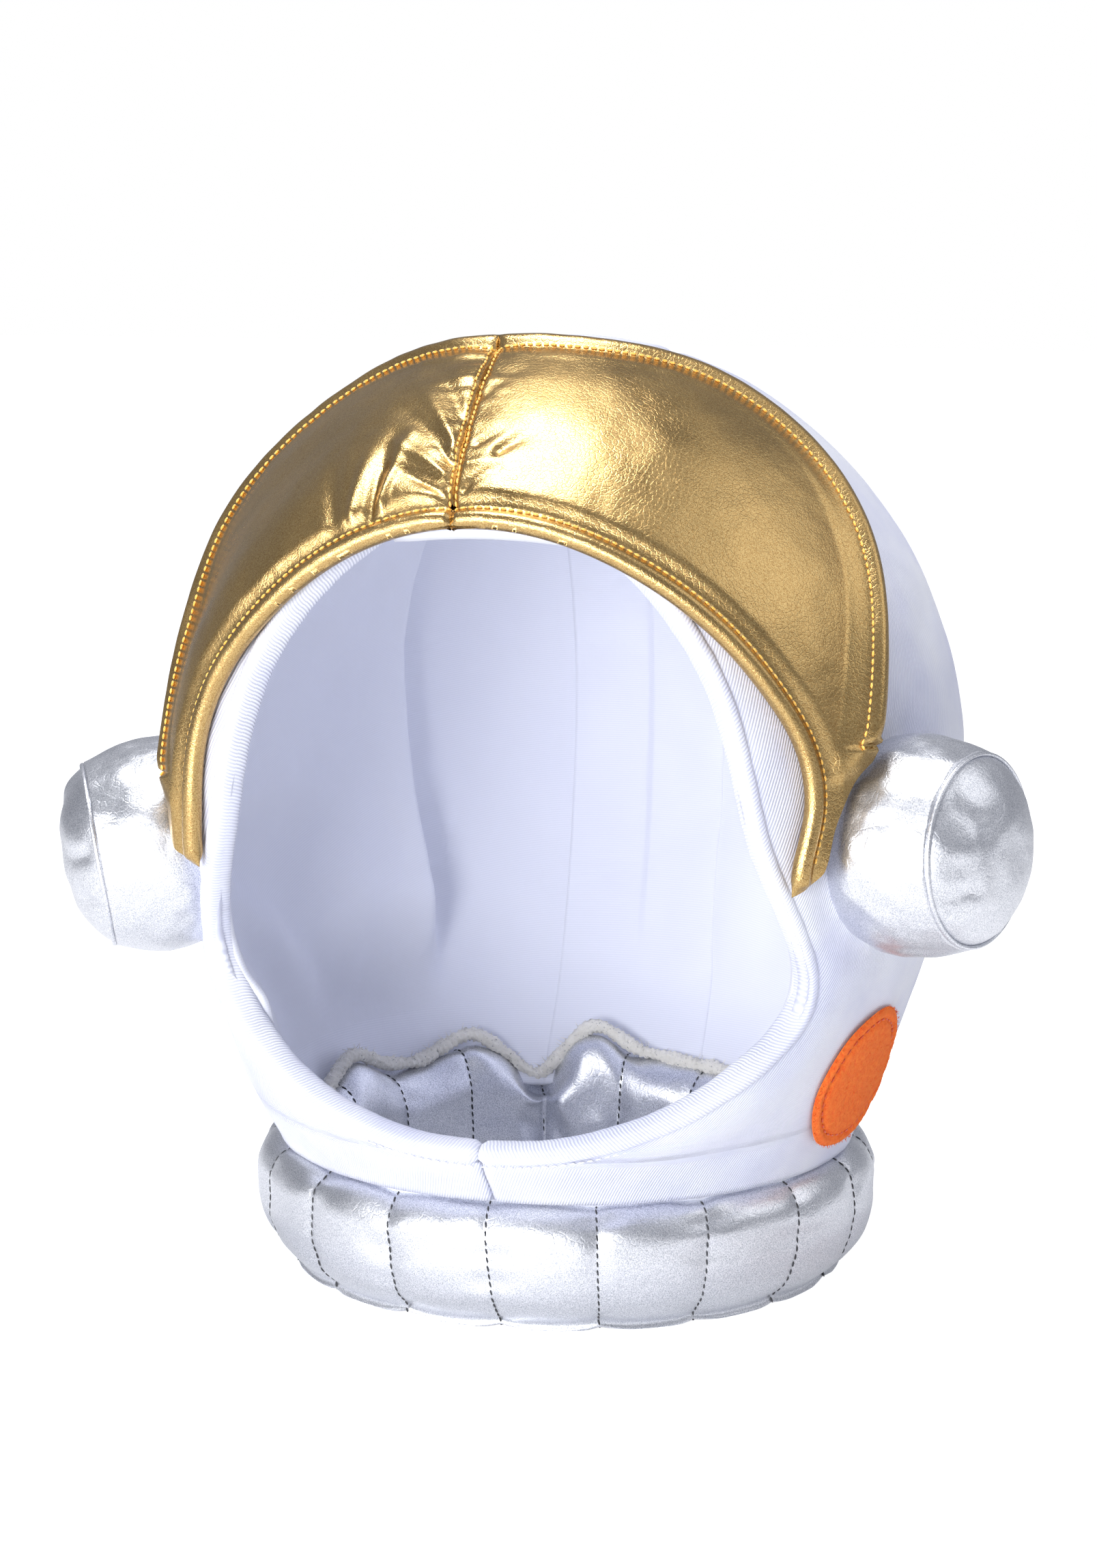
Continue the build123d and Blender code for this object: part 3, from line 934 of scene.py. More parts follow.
def ringPoints(angle, share):
    # angle in degrees from the front seam towards the wearer's left, share round the section
    section, out = ringSection(241)
    at = share * 240
    spots = np.arange(241)
    sx, sz = np.interp(at, spots, section[:, 0]), np.interp(at, spots, section[:, 1])
    nx, nz = np.interp(at, spots, out[:, 0]), np.interp(at, spots, out[:, 1])
    pitch, perDegree = 360 / ring["channels"], math.radians(1) * ring["middle"]
    channel = angle / pitch + seamSway(angle, share)
    toSeam = np.abs(channel - np.rint(channel)) * pitch * perDegree  # mm to the nearest seam
    atJoin = np.rint(channel) % ring["channels"] == ring["join"]
    deep = np.where(atJoin, ring["joinDraw"], ring["draw"])
    draw = deep * (1 - limited(1 - (1 - toSeam / ring["lobeHalf"]) ** 2) ** 0.62)
    around = angle * perDegree
    turn = np.radians(angle)
    spot = packed(38 * np.sin(turn) + sx, 38 * np.cos(turn), sz)
    crease = ring["creases"] * waves(spot, 8, 4.0, 1) * bell(toSeam - 4, 6)
    crease += 0.3 * waves(spot, 15, 14.0, 1)
    fromJoin = angle - ring["join"] * pitch
    pinch = ring["joinFolds"] * bell(fromJoin, 13) * step(nx, 0.2, -0.6)
    crease += pinch * np.sin(share * 34 + around * 0.1) * bell(toSeam - 7, 7)
    height, place, width = ring["slack"]
    slack = height * step(nx, 0.1, -0.5) * bell(angle - place, width)
    crease += slack * np.sin((around + share * 60) / 4.2) * bell(toSeam - 8, 7)
    push = uneven(spot, ring["puff"]) * (1 - bell(toSeam, 4)) + crease - draw
    sx = sx + nx * push
    sz = sz + nz * push
    sx = sx - ring["tuck"] * step(sx, 2, 12) * limited(0.1 - sz / 26) ** 1.7
    radius = ring["halfWidth"] - ring["thickness"] / 2 + sx
    x, y = radius * np.sin(turn), -radius * np.cos(turn) * ring["halfDepth"] / ring["halfWidth"]
    z = sz + (ring["height"] - ring["floor"]) / 2
    # inside the hood the lobes stand up against the overlocked edge, and fall away at the join
    inside = step(sx, 9, -5)
    z = z + crestRise(angle) * step(sz, 4, 24) * inside
    z = np.maximum(z - 6 * bell(fromJoin, 4) * step(z, 30, 52) * inside, 0)
    points = packed(x, y, z)
    normal = packed(nx * np.sin(turn), -nx * np.cos(turn), nz)
    return points, normal, packed(around, share * 150)


def ringCover():
    def place(u, v):
        points, _, measure = ringPoints(u * 360, v)
        return points, measure

    return welded(clothGrid(540, 108, place))


makePiece("neckRing", ringCover(), "silver_lame", "helmet",
          ["neck_ring_cover", "neck_ring_filling"])

stitching = bmesh.new()
for channel in range(ring["channels"]):
    shares = np.linspace(0, 1, 160)
    pitch = 360 / ring["channels"]
    angle = np.full(160, channel * pitch)
    angle = angle - pitch * seamSway(angle, shares)
    points, normals, measure = ringPoints(angle, shares)
    seen = points[:, 2] > 0.9
    first = int(np.argmin(points[:, 2] + 100 * seen))
    points, normals, seen = (np.roll(part, -first, axis=0) for part in (points, normals, seen))
    addStitches(stitching, points[seen], normals[seen], **ring["stitch"], slant=0.14, seed=channel)
makePiece("neckRingQuilting", stitching, "dark_thread", "helmet", ["neck_ring_quilting"])
print("neck ring made")


# overlocked seam edge on the ring's crest, inside the lining
overlock = {
    "level": 54.0,
    "radius": 3.4,
    "wrapPitch": 2.6,
    "fibres": 420,
    "sway": ((1.8, 30, 2.5), (1.0, 12, 6.5)),
    "rise": ((1.2, 34, 9.5), (1.0, 14, 3.5)),
    "clumps": ((0.8, 9, 1.5), (0.6, 4, 4.5)),
    "fuzz": ((0.5, 1.6, 5.5), (0.7, 4.5, 2.5)),
    "follows": 1.15,  # how closely it rides on the ring's crests
}


def overlockPath(count):
    level = overlock["level"]
    width, depth = hoodHalves(level)
    inset = hood["thickness"] + overlock["radius"] + 0.3
    turn = np.linspace(0, 2 * math.pi, count, endpoint=False)
    far = turn * 104
    # it closes without a step
    close = spanned(turn, 0, 0.3, 2 * math.pi - 0.3, 2 * math.pi)
    radius = -inset - 2.5 + unevenAlong(far, overlock["sway"]) * close
    x = (width + radius) * np.sin(turn)
    y = -(depth + radius) * np.cos(turn)
    z = level + unevenAlong(far, overlock["rise"]) * close
    z += overlock["follows"] * crestRise(np.degrees(turn))
    return packed(x, y, z)


def overlockEdge():
    # a bulky cord with its yarn wrapped round it in uneven turns
    count = 900
    path = overlockPath(count)
    path = np.vstack([path, path[:1]])
    ahead = np.gradient(path, axis=0)
    ahead[0] = ahead[-1] = path[1] - path[-2]
    ahead = unit(ahead)
    side = np.cross(ahead, (0, 0, 1))
    side = unit(side)
    up = np.cross(side, ahead)
    far = lengthsAlong(path)

    def place(u, v):
        i = np.rint(u * count).astype(int)
        turn = v * 2 * math.pi
        at = far[i]
        turns = round(far[-1] / overlock["wrapPitch"])
        wrap = np.sin(2 * math.pi * turns * at / far[-1] + turn)
        close = spanned(at, 0, 20, far[-1] - 20, far[-1])
        flat = packed(at, 12 * np.cos(turn), 12 * np.sin(turn))
        fuzz = (unevenAlong(at, overlock["clumps"]) + uneven(flat, overlock["fuzz"])) * close
        radius = overlock["radius"] * 0.86 + 0.42 * wrap + fuzz
        wide, tall = radius * np.cos(turn), 0.9 * radius * np.sin(turn)
        points = path[i] + side[i] * wide[..., None] + up[i] * tall[..., None]
        return points, packed(at, turn * 3)

    mesh = clothGrid(count, 20, place)
    welded(mesh)
    # loose fibres that stand off it
    draw = random.Random(12)
    for number in range(overlock["fibres"]):
        i = draw.randrange(count)
        turn = draw.uniform(0.2, math.pi - 0.2)
        out = side[i] * math.cos(turn) + up[i] * math.sin(turn)
        base = Vector(inFrame(path[i] + out * 2.8))
        lean = Vector(out) + Vector([draw.uniform(-0.9, 0.9) for axis in range(3)])
        addFibre(mesh, base, lean, draw.uniform(1.2, 3.4), 0.16, 0.06, 4)
    return mesh


makePiece("neckOverlock", overlockEdge(), "overlock_yarn", "helmet", ["neck_seam_overlock"])
print("overlocked edge made")


# ear pods: stuffed drums, drawn in at the hood and along the cap's seam
pod = {
    "profile": ((34.5, -7), (40.6, 5), (41.2, 20), (36.4, 38.7)),  # radius and depth, hood to seam
    "seamRadius": 35.5,
    "seamDepth": 38,
    "ridge": 1.1,
    "crown": 13.5,
    "gathers": (0.9, 1.1),  # at the cap's seam and at the hood
    "bandCrease": (-2.4, 250, 0.35, 4.5),  # height, degrees round, its slant and width
    # pinched folds on the cap: degrees round it, then share of the radius where each starts and ends
    "capFolds": {
        "left": (
            (205, 1.0, 0.45, 7.0, -1.8), (228, 0.95, 0.35, 8.0, 1.2),
            (140, 0.9, 0.3, 9.0, -1.6), (172, 1.0, 0.5, 7.0, 0.9),
        ),
        "right": (
            (-25, 1.0, 0.55, 6.0, -1.8), (12, 0.95, 0.4, 7.0, -1.4),
            (160, 1.0, 0.5, 7.0, -1.2), (95, 1.0, 0.6, 6.5, 1.0),
        ),
    },
}


def fromPod(name, radius, turn, depth):
    # a point round the pod's axis, turned from its forward side over the top
    seat, ahead, up, out = (np.array(part) for part in podAxes(name))
    flat = radius[..., None] * (np.cos(turn)[..., None] * ahead + np.sin(turn)[..., None] * up)
    return seat + flat + depth[..., None] * out


def roundPod(turn, pitch, seed):
    # gathers round the pod, pitch in degrees, that close without a step
    return alongWaves(np.degrees(turn), pitch, seed) * step(np.abs(turn - math.pi), math.pi, math.pi - 0.3)


def podBand(name):
    seed = 3.0 if name == "left" else 8.0
    run = evenRun(smoothThrough(pod["profile"]), 60)
    far = lengthsAlong(run)

    def place(u, v):
        turn = u * 2 * math.pi
        # out along the side, then in under the cap's seam, and back under the hood's surface
        at = limited(v / 0.9) * far[-1]
        radius, depth = np.interp(at, far, run[:, 0]), np.interp(at, far, run[:, 1])
        inward = limited((v - 0.9) / 0.1)
        flat = packed(60 * np.cos(turn), 60 * np.sin(turn), depth * 1.3)
        slack = uneven(flat, ((1.5, 34, seed), (0.5, 12, seed + 3)))
        atSeam, atHood = pod["gathers"]
        gather = roundPod(turn, 15, seed) * (atSeam * bell(depth - 38, 9) + atHood * bell(depth + 2, 9))
        # one deeper fold runs down the band from the seam
        height, degrees, slant, width = pod["bandCrease"]
        fromCrease = (turn - math.radians(degrees)) * 42 - (depth - 38) * slant
        crease = height * bell(fromCrease, width) * step(depth, 6, 30)
        radius = radius + (slack + crease) * np.sin(limited((depth + 7) / 45) * math.pi) + gather
        radius = radius * (1 - inward) + 2 * inward
        radius = np.where(v < 0.001, 4, radius)
        points = fromPod(name, radius, turn, depth)
        return points, packed(turn * 42, at)

    return welded(clothGrid(220, 66, place))


def podCap(name):
    seed = 5.0 if name == "left" else 11.0

    def place(u, v):
        turn = u * 2 * math.pi
        # from the pole out over the crown, down round the seam's ridge and in behind
        share = limited(v / 0.72)
        ridge = limited((v - 0.72) / 0.18)
        inward = limited((v - 0.9) / 0.1)
        rim = pod["seamRadius"] - 0.9
        radius = rim * np.sin(share * math.pi / 2) ** 1.06
        flatTop = (1 - (radius / rim) ** 2.7)
        depth = pod["seamDepth"] + 1.2 + pod["crown"] * flatTop ** 0.8
        x, y = radius * np.cos(turn), radius * np.sin(turn)
        flat = packed(x, y, 0 * x)
        slack = uneven(flat, ((1.6, 26, seed), (0.3, 11, seed + 2)))
        pull = roundPod(turn, 16, seed)
        depth = depth + slack * step(radius, rim, rim - 9) + 0.45 * pull * bell(rim - radius - 5, 6)
        for degrees, start, end, width, height in pod["capFolds"][name]:
            fold = math.radians(degrees)
            along = x * math.cos(fold) + y * math.sin(fold)
            aside = -x * math.sin(fold) + y * math.cos(fold)
            held = step(along, rim * end, rim * (end + start) / 2) * step(along, rim * 1.02, rim * 0.86)
            depth = depth + height * bell(aside, width * (0.5 + 0.7 * (1 - held))) * held
        # the ridge: a narrow roll standing round the seam
        roll = ridge * math.pi * 1.25
        bead = pod["ridge"]
        radius = np.where(ridge > 0, rim + bead * (1 - np.cos(roll)) * 0.75, radius)
        depth = np.where(ridge > 0, pod["seamDepth"] + 1.2 + bead * np.sin(roll), depth)
        radius = radius * (1 - inward) + 1.0 * inward
        radius = np.where(share <= 0, 0, radius)
        points = fromPod(name, radius, turn, depth)
        return points, packed(x + 300, y + 300)

    mesh = clothGrid(220, 84, place)
    return welded(mesh)


for name in podPlaces:
    makePiece("earPodBand_" + name, podBand(name), "silver_lame", "helmet",
              ["ear_pod_band_" + name, "ear_pod_filling_" + name])
    makePiece("earPodCap_" + name, podCap(name), "silver_lame", "helmet", ["ear_pod_cap_" + name])
print("ear pods made")


# felt patch, with its ring of stitching
patch = {
    "radius": 29,
    "felt": 2.0,
    "gap": 0.5,
    "stitchInset": 4.5,
    "forward": 50,
    "level": 82,
    "turn": 19,
    "dip": 18,
    "fibres": 420,
    "fuzz": ((0.22, 2.2, 3.0), (0.3, 9, 6.0)),
    "stitchSink": 1.1,
    "rimDrop": 0.9,
    "stitch": {"length": 3.0, "gap": 1.0, "thick": 0.8},
}


def onPatch(x, y, lift):
    # a point of the patch's own plane, carried in to the hood
    turn, dip = math.radians(patch["turn"]), math.radians(patch["dip"])
    out = np.array((math.cos(turn) * math.cos(dip), -math.sin(turn) * math.cos(dip), -math.sin(dip)))
    ahead = np.array((-math.sin(turn), -math.cos(turn), 0.0))
    up = np.cross(out, ahead)
    half = hood["halfWidth"] * math.sqrt(1 - (patch["forward"] / hood["halfDepth"]) ** 2)
    centre = np.array((half, -patch["forward"], patch["level"]))
    spot = centre + x[..., None] * ahead + y[..., None] * up
    low, high = np.full(x.shape, -70.0), np.full(x.shape, 70.0)
    for turnNumber in range(30):
        middle = (low + high) / 2
        at = spot + middle[..., None] * out
        width, depth = hoodHalves(at[..., 2])
        inside = (at[..., 0] / width) ** 2 + (at[..., 1] / depth) ** 2 < 1
        low, high = np.where(inside, middle, low), np.where(inside, high, middle)
    points = spot + low[..., None] * out
    return points + hoodNormal(points) * lift[..., None], hoodNormal(points)


def patchRim(turn):
    # cut by hand, so not quite round
    uneven = 0.012 * np.sin(2 * turn + 0.6) + 0.010 * np.sin(3 * turn) + 0.008 * np.sin(7 * turn + 1)
    return patch["radius"] * (1 + uneven)


def feltPatch():
    def place(u, v):
        turn = u * 2 * math.pi
        share = limited(v / 0.42) * (v <= 0.5) + limited((1 - v) / 0.42) * (v > 0.5)
        rim = patchRim(turn)
        radius = rim * share
        x, y = radius * np.cos(turn), radius * np.sin(turn)
        flat = packed(x, y, 0 * x)
        edge = rim - radius
        top = patch["gap"] + patch["felt"] + uneven(flat, patch["fuzz"])
        top -= patch["stitchSink"] * bell(edge - patch["stitchInset"], 1.3)
        top -= patch["rimDrop"] * bell(edge, 1.0)
        # the rim rounds over between the two faces
        rounding = limited((v - 0.42) / 0.16)
        middle = (0.42 < v) & (v < 0.58)
        edgeLift = patch["gap"] + patch["felt"] * (0.55 - 0.5 * rounding)
        lift = np.where(v < 0.42, top, np.where(middle, edgeLift, patch["gap"]))
        bulge = 0.5 * np.sin(rounding * math.pi) * middle
        spread = 1 + bulge / np.maximum(radius, 1)
        points, normals = onPatch(x * spread, y * spread, lift)
        return points, packed(x + 40, y + 40)

    mesh = clothGrid(200, 76, place)
    welded(mesh)
    draw = random.Random(5)
    for number in range(patch["fibres"]):
        # loose fibres stand off the cut edge and the face
        turn = draw.uniform(0, 2 * math.pi)
        share = 1.0 if number % 3 else draw.uniform(0.2, 0.95)
        radius = patchRim(turn) * share
        at = np.array((radius * math.cos(turn))), np.array((radius * math.sin(turn)))
        lift = patch["gap"] + (draw.uniform(0.2, 1.6) if share == 1.0 else patch["felt"] - 0.3)
        points, normals = onPatch(*at, np.array(lift))
        outer, normals = onPatch(at[0] * 1.05, at[1] * 1.05, np.array(lift))
        lean = Vector(outer - points).normalized() * (1.2 if share == 1.0 else 0.5) + Vector(normals) * 0.7
        lean += Vector([draw.uniform(-0.8, 0.8) for axis in range(3)])
        addFibre(mesh, inFrame(points), lean, draw.uniform(0.6, 1.5), 0.13, 0.05, 3)
    return mesh


felt = makePiece("feltPatch", feltPatch(), "orange_felt", "helmet", ["felt_patch"])
stitching = bmesh.new()
turns = np.linspace(0, 2 * math.pi, 240)
radii = patchRim(turns) - patch["stitchInset"]
stitchLift = np.full(240, patch["gap"] + patch["felt"] - 1.0)
points, normals = onPatch(radii * np.cos(turns), radii * np.sin(turns), stitchLift)
addStitches(stitching, points, normals, **patch["stitch"], seed=8)
patchStitches = makePiece("feltPatchStitches", stitching, "orange_thread", "helmet",
                          ["felt_patch_stitching"])
print("felt patch made")


# visor: two padded gold halves, rolled along both edges
visor = {
    "endLevel": 175,
    "endRound": 21,
    # front edge on each side: how far forward, and at what level
    "front": {
        "left": (
            (114.2, 160), (115.4, 173), (116.4, 184), (115.2, 194), (113.2, 206), (112.8, 221),
            (114.6, 235), (118.2, 250), (122.2, 268), (126.3, 287), (129.4, 306), (130.6, 330),
        ),
        "right": (
            (117.0, 160), (118.6, 172), (120.2, 186), (121.4, 200), (121.6, 219), (122.4, 239),
            (124.0, 254), (126.6, 272), (128.4, 290), (129.4, 306), (130.6, 330),
        ),
    },
    # back edge in side view: shares of the hood's half depth forward and of its rise
    "backShares": (
        (0.305, 1.06), (0.273, 1.01), (0.214, 0.958), (0.196, 0.88), (0.229, 0.737),
        (0.313, 0.575), (0.44, 0.371), (0.53, 0.174), (0.59, 0), (0.6, -0.18),
    ),
    "strip": 5,  # how far off the hood its width is measured
    "gap": 1.8,
    "top": 9.3,
    "bead": 3.8,  # the rolled edge's radius
    "beadMiddle": 5.2,
    "stitchIn": 7.2,
    "backWide": 1.28,  # the back edge's roll is this much wider than the front one's
    "stitchDip": 2.3,
    "podRoom": 42.9,
    # how much further the back edge's roll stands off the hood, over the crown and low at the sides
    "flare": {"crown": 2.8, "left": 7.5, "right": 5.5},
    "pivot": (112, 184),  # forward and up
    "tips": (0, 15, 30, 45),  # degrees of tip at which its ends keep clear of the pods
    "seamTurn": -4.6,  # degrees, because the seam sits askew towards the wearer's right
    "seamDraw": ((1.7, 1.7), (1.0, 8)),  # depth and width
    "gathers": {"left": (4.0, 60), "right": (6.0, 110)},  # seed, and how far from the seam they reach
    "ripples": {"left": (0.8, 2.0), "right": (1.1, 12.0)},  # beside the seam: height and seed
    "stitch": {"length": 2.5, "gap": 0.5, "thick": 0.95, "sink": 0.05},
    # wrinkles on each half: from and to, mm from the seam and from the front edge, then width and height
    "folds": {
        "right": (
            (44, 3, 30, 44, 3.2, -3.2), (38, 4, 22, 42, 2.6, 2.4), (52, 8, 40, 40, 3.4, 1.8),
            (4, 12, 34, 30, 2.4, -1.7), (5, 20, 40, 48, 3.0, 1.6), (3, 26, 30, 60, 3.2, -1.6),
            (3, 34, 26, 76, 3.2, 1.3), (4, 8, 26, 16, 2.0, 1.3), (3, 48, 22, 92, 4.0, -1.1),
            (60, 10, 56, 60, 6.0, -1.2), (3, 15, 20, 20, 1.6, -1.1), (3, 30, 16, 40, 1.6, 1.1),
        ),
        "left": (
            (5, 14, 18, 22, 2.4, -1.3), (16, 30, 27, 40, 3.6, -2.0), (6, 34, 16, 40, 2.0, -1.2),
            (4, 24, 14, 26, 1.8, 0.9), (6, 8, 16, 9, 2.2, 1.1), (22, 8, 30, 10, 2.2, 0.9),
            (3, 60, 16, 80, 4.0, -0.8),
        ),
    },
}
backRun = [(hood["halfDepth"] * f, hood["widest"] + hood["rise"] * z) for f, z in visor["backShares"]]
backRun = smoothThrough(backRun)
backRun = backRun[np.argsort(backRun[:, 1])]
frontRuns = {name: smoothThrough(run) for name, run in visor["front"].items()}


def hoodAround(turn, forward, lift):
    # where the hood's surface lies in that direction about its own fore and aft line: 0 is straight up
    low, high = np.zeros(turn.shape), np.full(turn.shape, 260.0)
    for halving in range(30):
        middle = (low + high) / 2
        width, depth = hoodHalves(hood["widest"] + middle * np.cos(turn), lift)
        across = middle * np.sin(turn) / np.maximum(width, tiny)
        inside = (across**2 + (forward / np.maximum(depth, tiny)) ** 2 < 1) & (width > tiny)
        low, high = np.where(inside, middle, low), np.where(inside, high, middle)
    return packed(low * np.sin(turn), -forward, hood["widest"] + low * np.cos(turn))


def visorEdges(name, turn):
    # how far forward the visor's two edges lie in each direction
    frontRun = frontRuns[name]
    front = np.full(turn.shape, 125.0)
    back = np.full(turn.shape, 60.0)
    for nearing in range(16):
        level = hoodAround(turn, front, 6)[..., 2]
        front = 0.4 * front + 0.6 * np.interp(level, frontRun[:, 1], frontRun[:, 0])
        level = hoodAround(turn, back, 6)[..., 2]
        back = 0.5 * back + 0.5 * np.interp(level, backRun[:, 1], backRun[:, 0])
    return front, back


def podClearance(points, name):
    # how far each point of the visor stays from the pod's axis, at rest and tipped forward
    forward, up = visor["pivot"]
    y, z = points[..., 1] + forward, points[..., 2] - up
    least = np.full(y.shape, 999.0)
    for degrees in visor["tips"]:
        turn = math.radians(degrees)
        moved = [points[..., 0], y * math.cos(turn) - z * math.sin(turn) - forward,
                 y * math.sin(turn) + z * math.cos(turn) + up]
        least = np.minimum(least, awayFromPod(packed(*moved), name))
    return least


def tipTurn(name, side):
    # the direction in which the front edge has come down to where the half ends
    turns = side * np.radians(np.linspace(80, 130, 300))
    front = visorEdges(name, turns)[0]
    level = hoodAround(turns, front, visor["strip"])[..., 2]
    return turns[(level < visor["endLevel"]).argmax()]


def visorStrip(name, turn, steps=160):
    # in each direction, points evenly from the front edge to the back one or the pod, on the hood
    # itself, and how far it still is to the pod
    front, back = visorEdges(name, turn)
    share = np.linspace(0, 1, steps)
    forward = front[:, None] + (back - front)[:, None] * share
    turns = np.repeat(turn[:, None], steps, axis=1)
    room = podClearance(hoodAround(turns, forward, visor["strip"]), name) - visor["podRoom"]
    near = room < 0
    first = np.maximum(near.argmax(axis=1), 1)
    rows = np.arange(len(turn))
    before, after = room[rows, first - 1], room[rows, first]
    part = limited(before / np.maximum(before - after, tiny))
    met = forward[rows, first - 1] + (forward[rows, first] - forward[rows, first - 1]) * part
    held = near.any(axis=1)
    back = np.where(held, met, back)
    # the end is rounded off to a point at its front edge
    level = hoodAround(turn, front, visor["strip"])[..., 2]
    left = limited((level - visor["endLevel"]) / visor["endRound"])
    back = front + np.minimum((back - front) * np.sqrt(1 - (1 - left) ** 2), -0.3)
    forward = front[:, None] + (back - front)[:, None] * share
    far = lengthsAlong(hoodAround(turns, forward, visor["strip"]), axis=1)
    fromSeam = lengthsAlong(hoodAround(turn, forward[:, steps // 2], 8))
    podStart = fromSeam[held.argmax()] if held.any() else fromSeam[-1] + 99
    return forward, far, fromSeam, podStart - fromSeam


def eachBetween(s, far, forward):
    # how far forward each strip is at its own distance from the front edge
    return np.array([np.interp(*strip) for strip in zip(s, far, forward)])


def halfTurns(name, side, shares):
    # directions over one half, from the centre seam towards where the half ends
    seam = math.radians(visor["seamTurn"])
    return seam + (tipTurn(name, side) - seam) * shares


def fromEdges(s, span, toPod):
    # how far in from the nearer of the two edges, the back one's measure drawn out
    return np.minimum(s, (span - s) / visor["backWide"] + 40 * step(toPod, 9, -3))


def backFlare(name, a, fromBack, toPod):
    # the roll stands off the hood, and comes down again along the pod
    low, high = visor["flare"]["crown"], visor["flare"][name]
    return (low + (high - low) * step(a, 90, 190)) * step(fromBack, 20, 7) * step(toPod, -7, 14)


def visorLift(name, a, s, span, toPod):
    # the outer face: a roll along each free edge, a stitched hollow behind it, then the padding
    edge = fromEdges(s, span, toPod)
    bead = np.minimum(visor["bead"], span / 2)
    roll = visor["beadMiddle"] + bead * quarterRound(edge / bead)
    dip = visor["stitchDip"] * step(edge, 3.9, 7.6)
    rise = (visor["top"] - visor["beadMiddle"] - visor["bead"]) + visor["stitchDip"]
    inner = step(edge, 7.6, 14)
    lift = roll - dip + rise * inner + backFlare(name, a, span - s, toPod)
    # the padding is drawn in at the centre seam, less so through the roll of the back edge
    drawnIn = sum(depth * bell(a, width) for depth, width in visor["seamDraw"])
    lift -= drawnIn * (0.15 + 0.85 * step(span - s, 2, 9))
    seed, reach = visor["gathers"][name]
    gather, close = unevenAlong(a, ((1, 9, seed), (0.5, 4.1, 9.0))), bell(a, reach)
    lift += 0.4 * gather * bell(edge - 11, 5) * (0.15 + 0.85 * close)
    lift += 0.25 * alongWaves(a, 8, 1.0) * bell(edge - 3.5, 3) * (0.4 + close)
    height, seed = visor["ripples"][name]
    padding = height * unevenAlong(s, ((1, 7, seed), (0.6, 3.6, 5.0))) * bell(a - 4, 9)
    padding += folds(a, s, visor["folds"][name])
    flat, side = packed(a, s, 0 * a), sides[name]
    padding += uneven(flat, ((0.7, 48, 4.0 + side), (0.22, 15, 9.0 + side)))
    return lift + padding * inner


def visorHalf(side, name):
    columns, rows = 320, 150
    turn = halfTurns(name, side, np.linspace(0, 1, columns + 1))
    forward, far, fromSeam, podAhead = visorStrip(name, turn)

    def place(u, v):
        span = far[:, -1][:, None] + 0 * v
        toPod = podAhead[:, None] + 0 * v
        outer = v < 0.5
        # closer points near the two edges, where the roll is
        half = np.where(outer, v * 2, 2 - v * 2)
        even = 0.5 - 0.5 * np.cos(half * math.pi)
        s = span * (0.45 * even + 0.55 * half)
        at = eachBetween(s, far, forward)
        a = fromSeam[:, None] + 0 * v
        top = visorLift(name, a, s, span, toPod)
        edge = fromEdges(s, span, toPod)
        bead = np.minimum(visor["bead"], span / 2)
        under = visor["beadMiddle"] - bead * quarterRound(edge / bead)
        under = np.maximum(under, visor["gap"]) + 0.8 * backFlare(name, a, span - s, toPod)
        lift = np.where(outer, top, under)
        # the two halves close against each other at the seam, and the tip closes to a point
        lift = lift + (6 - lift) * 0.5 * bell(a, 0.5) * step(span - s, 2, 9)
        ending = step(fromSeam[-1] - a, 0, 8)
        lift = 4.6 + (lift - 4.6) * (0.3 + 0.7 * ending)
        turns = turn[:, None] + 0 * v
        points = hoodAround(turns, at, 0)
        points = points + hoodNormal(points) * (lift - pressedIn(points))[..., None]
        return points, packed(a + 400 * (side > 0), s + 200 * ~outer)

    mesh = clothGrid(columns, rows, place)
    return welded(mesh)


def visorRun(name, side, back):
    # points along the visor for a line of stitching, and the ways out of it
    turn = halfTurns(name, side, np.linspace(0.002, 0.985, 500))
    forward, far, fromSeam, toPod = visorStrip(name, turn)
    span = far[:, -1]
    s = span - visor["stitchIn"] * visor["backWide"] if back else visor["stitchIn"] + 0 * span
    at = eachBetween(s, far, forward)
    lift = visorLift(name, fromSeam, s, span, toPod)
    points = hoodAround(turn, at, 0)
    normals = hoodNormal(points)
    # the row along the back edge ends at the pod, and the other one at the narrow tip
    room = (toPod > 5.6) & (s > span / 2) if back else span > visor["stitchIn"] + 4
    lift = lift - pressedIn(points)
    return (points + normals * lift[:, None])[room], normals[room]


frontStitches, backStitches, seamStitches = bmesh.new(), bmesh.new(), bmesh.new()
for name, side in sides.items():
    makePiece("visorHalf_" + name, visorHalf(side, name), "gold_lame", "visor",
              ["visor_" + node + name for node in ("panel_", "foam_", "lining_", "washer_")])
    addStitches(frontStitches, *visorRun(name, side, False), **visor["stitch"], seed=2)
    addStitches(backStitches, *visorRun(name, side, True), **visor["stitch"], seed=4)
    # one row down each side of the centre seam, 1.7 mm from it where the crown's radius is 172 mm
    beside = np.full(160, math.radians(visor["seamTurn"]) + side * 1.7 / 172)
    forward, far, fromSeam, toPod = visorStrip(name, beside)
    s = np.linspace(visor["stitchIn"] + 0.6, far[0, -1] - visor["stitchIn"] - 0.6, 160)
    points = hoodAround(beside, np.interp(s, far[0], forward[0]), 0)
    normals = hoodNormal(points)
    lift = visorLift(name, np.full(160, 1.7), s, np.full(160, far[0, -1]), toPod)
    points = points + normals * lift[:, None]
    addStitches(seamStitches, points, normals, **visor["stitch"], slant=0.1, seed=6)
makePiece("visorFrontStitches", frontStitches, "yellow_thread", "visor", ["visor_front_topstitch"])
makePiece("visorBackStitches", backStitches, "yellow_thread", "visor", ["visor_back_topstitch"])
makePiece("visorSeamStitches", seamStitches, "yellow_thread", "visor", ["visor_seam_topstitch"])
print("visor made")


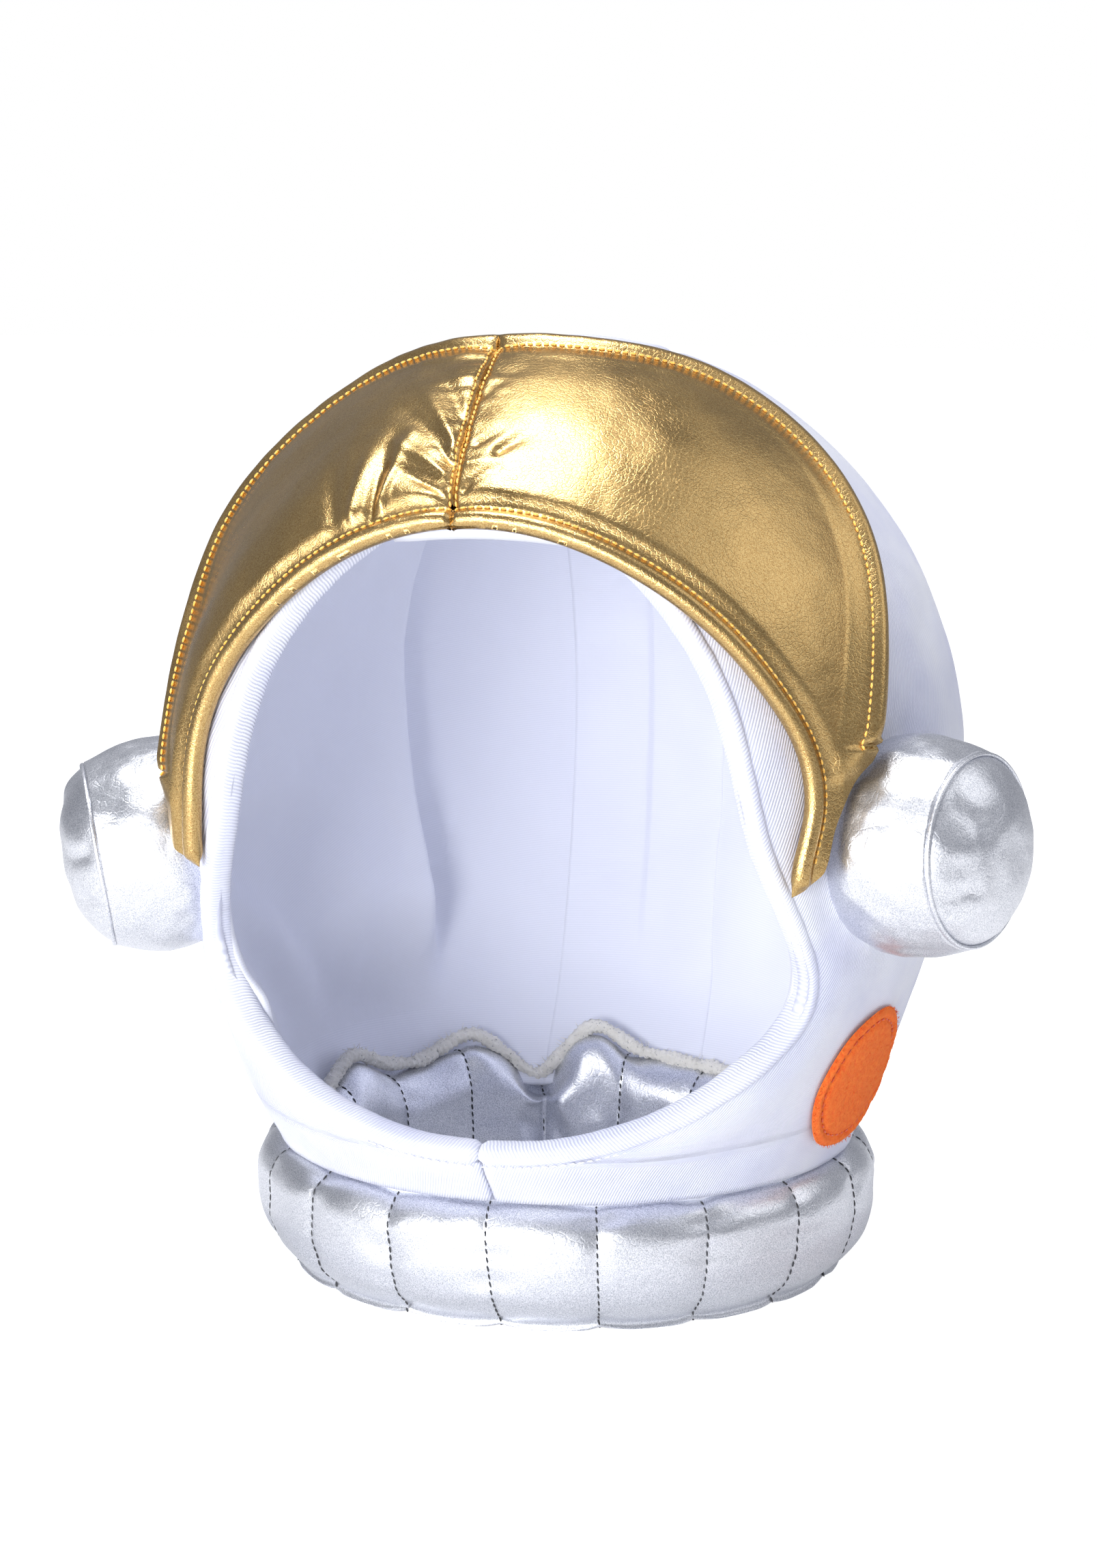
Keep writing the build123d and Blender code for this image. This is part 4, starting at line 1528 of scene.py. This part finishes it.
# the tacks that the visor turns on keep their CAD shapes
for name in sides:
    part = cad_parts["pivot_tack_" + name]
    part.data.materials.clear()
    part.data.materials.append(cloths["tack"])


# floor and studio light
studio = {
    "floorSize": 12,
    "sky": 0.36,
    "glow": (0.75, 0.06),  # what lifts the paper to plain white: to the camera, and to the helmet
    "lamps": {
        # power in watts, size in metres, place and what it is turned towards
        "key": (12, 0.9, (-0.8, -1.5, 0.55)),
        "fill": (16, 0.6, (-0.2, -1.75, 0.34)),
        "over": (19, 0.75, (-0.17, -0.13, 1.68)),
        "upperLeft": (7, 1.6, (1.5, 0.1, 1.5)),
    },
}


def makeStudio(v):
    mesh = bmesh.new()
    bmesh.ops.create_grid(mesh, x_segments=1, y_segments=1, size=v["floorSize"] / 2)
    data = bpy.data.meshes.new("floor")
    mesh.to_mesh(data)
    mesh.free()
    floor = bpy.data.objects.new("floor", data)
    bpy.context.scene.collection.objects.link(floor)
    # seamless white studio paper
    material, tree, shader = newMaterial("studioPaper", Roughness=0.9)
    tinted(tree, shader, grain(tree, 400), 0.90, 0.94, 0.3, 0.7)
    seen = addNode(tree, "ShaderNodeLightPath")
    most, least = v["glow"]
    white = addNode(tree, "ShaderNodeMath", {1: most - least, 2: least}, {0: seen.outputs["Is Camera Ray"]},
                    operation="MULTIPLY_ADD")
    shader.inputs["Emission Color"].default_value = grey(1)
    tree.links.new(white.outputs[0], shader.inputs["Emission Strength"])
    data.materials.append(material)
    world = bpy.data.worlds.new("studio")
    world.use_nodes = True
    tree = world.node_tree
    tree.nodes.clear()
    # the lamps light the room evenly, and what the camera sees behind is plain white
    seen = addNode(tree, "ShaderNodeLightPath")
    soft = addNode(tree, "ShaderNodeBackground", {"Color": hexColour("#f2f5ff"), "Strength": v["sky"]})
    plain = addNode(tree, "ShaderNodeBackground", {"Color": grey(1), "Strength": 1.0})
    mixed = addNode(tree, "ShaderNodeMixShader", links={"Fac": seen.outputs["Is Camera Ray"]})
    tree.links.new(soft.outputs[0], mixed.inputs[1])
    tree.links.new(plain.outputs[0], mixed.inputs[2])
    addNode(tree, "ShaderNodeOutputWorld", links={"Surface": mixed.outputs[0]})
    bpy.context.scene.world = world
    for name, (power, size, place) in v["lamps"].items():
        light = bpy.data.lights.new(name, "AREA")
        light.shape = "DISK"
        light.size = size
        light.energy = power
        lamp = bpy.data.objects.new(name, light)
        lamp.location = place
        lamp.rotation_euler = (Vector(place) - Vector((0, 0, 0.18))).to_track_quat("Z", "Y").to_euler()
        bpy.context.scene.collection.objects.link(lamp)
    bpy.context.scene.view_settings.view_transform = "Standard"


makeStudio(studio)
print("studio lit")
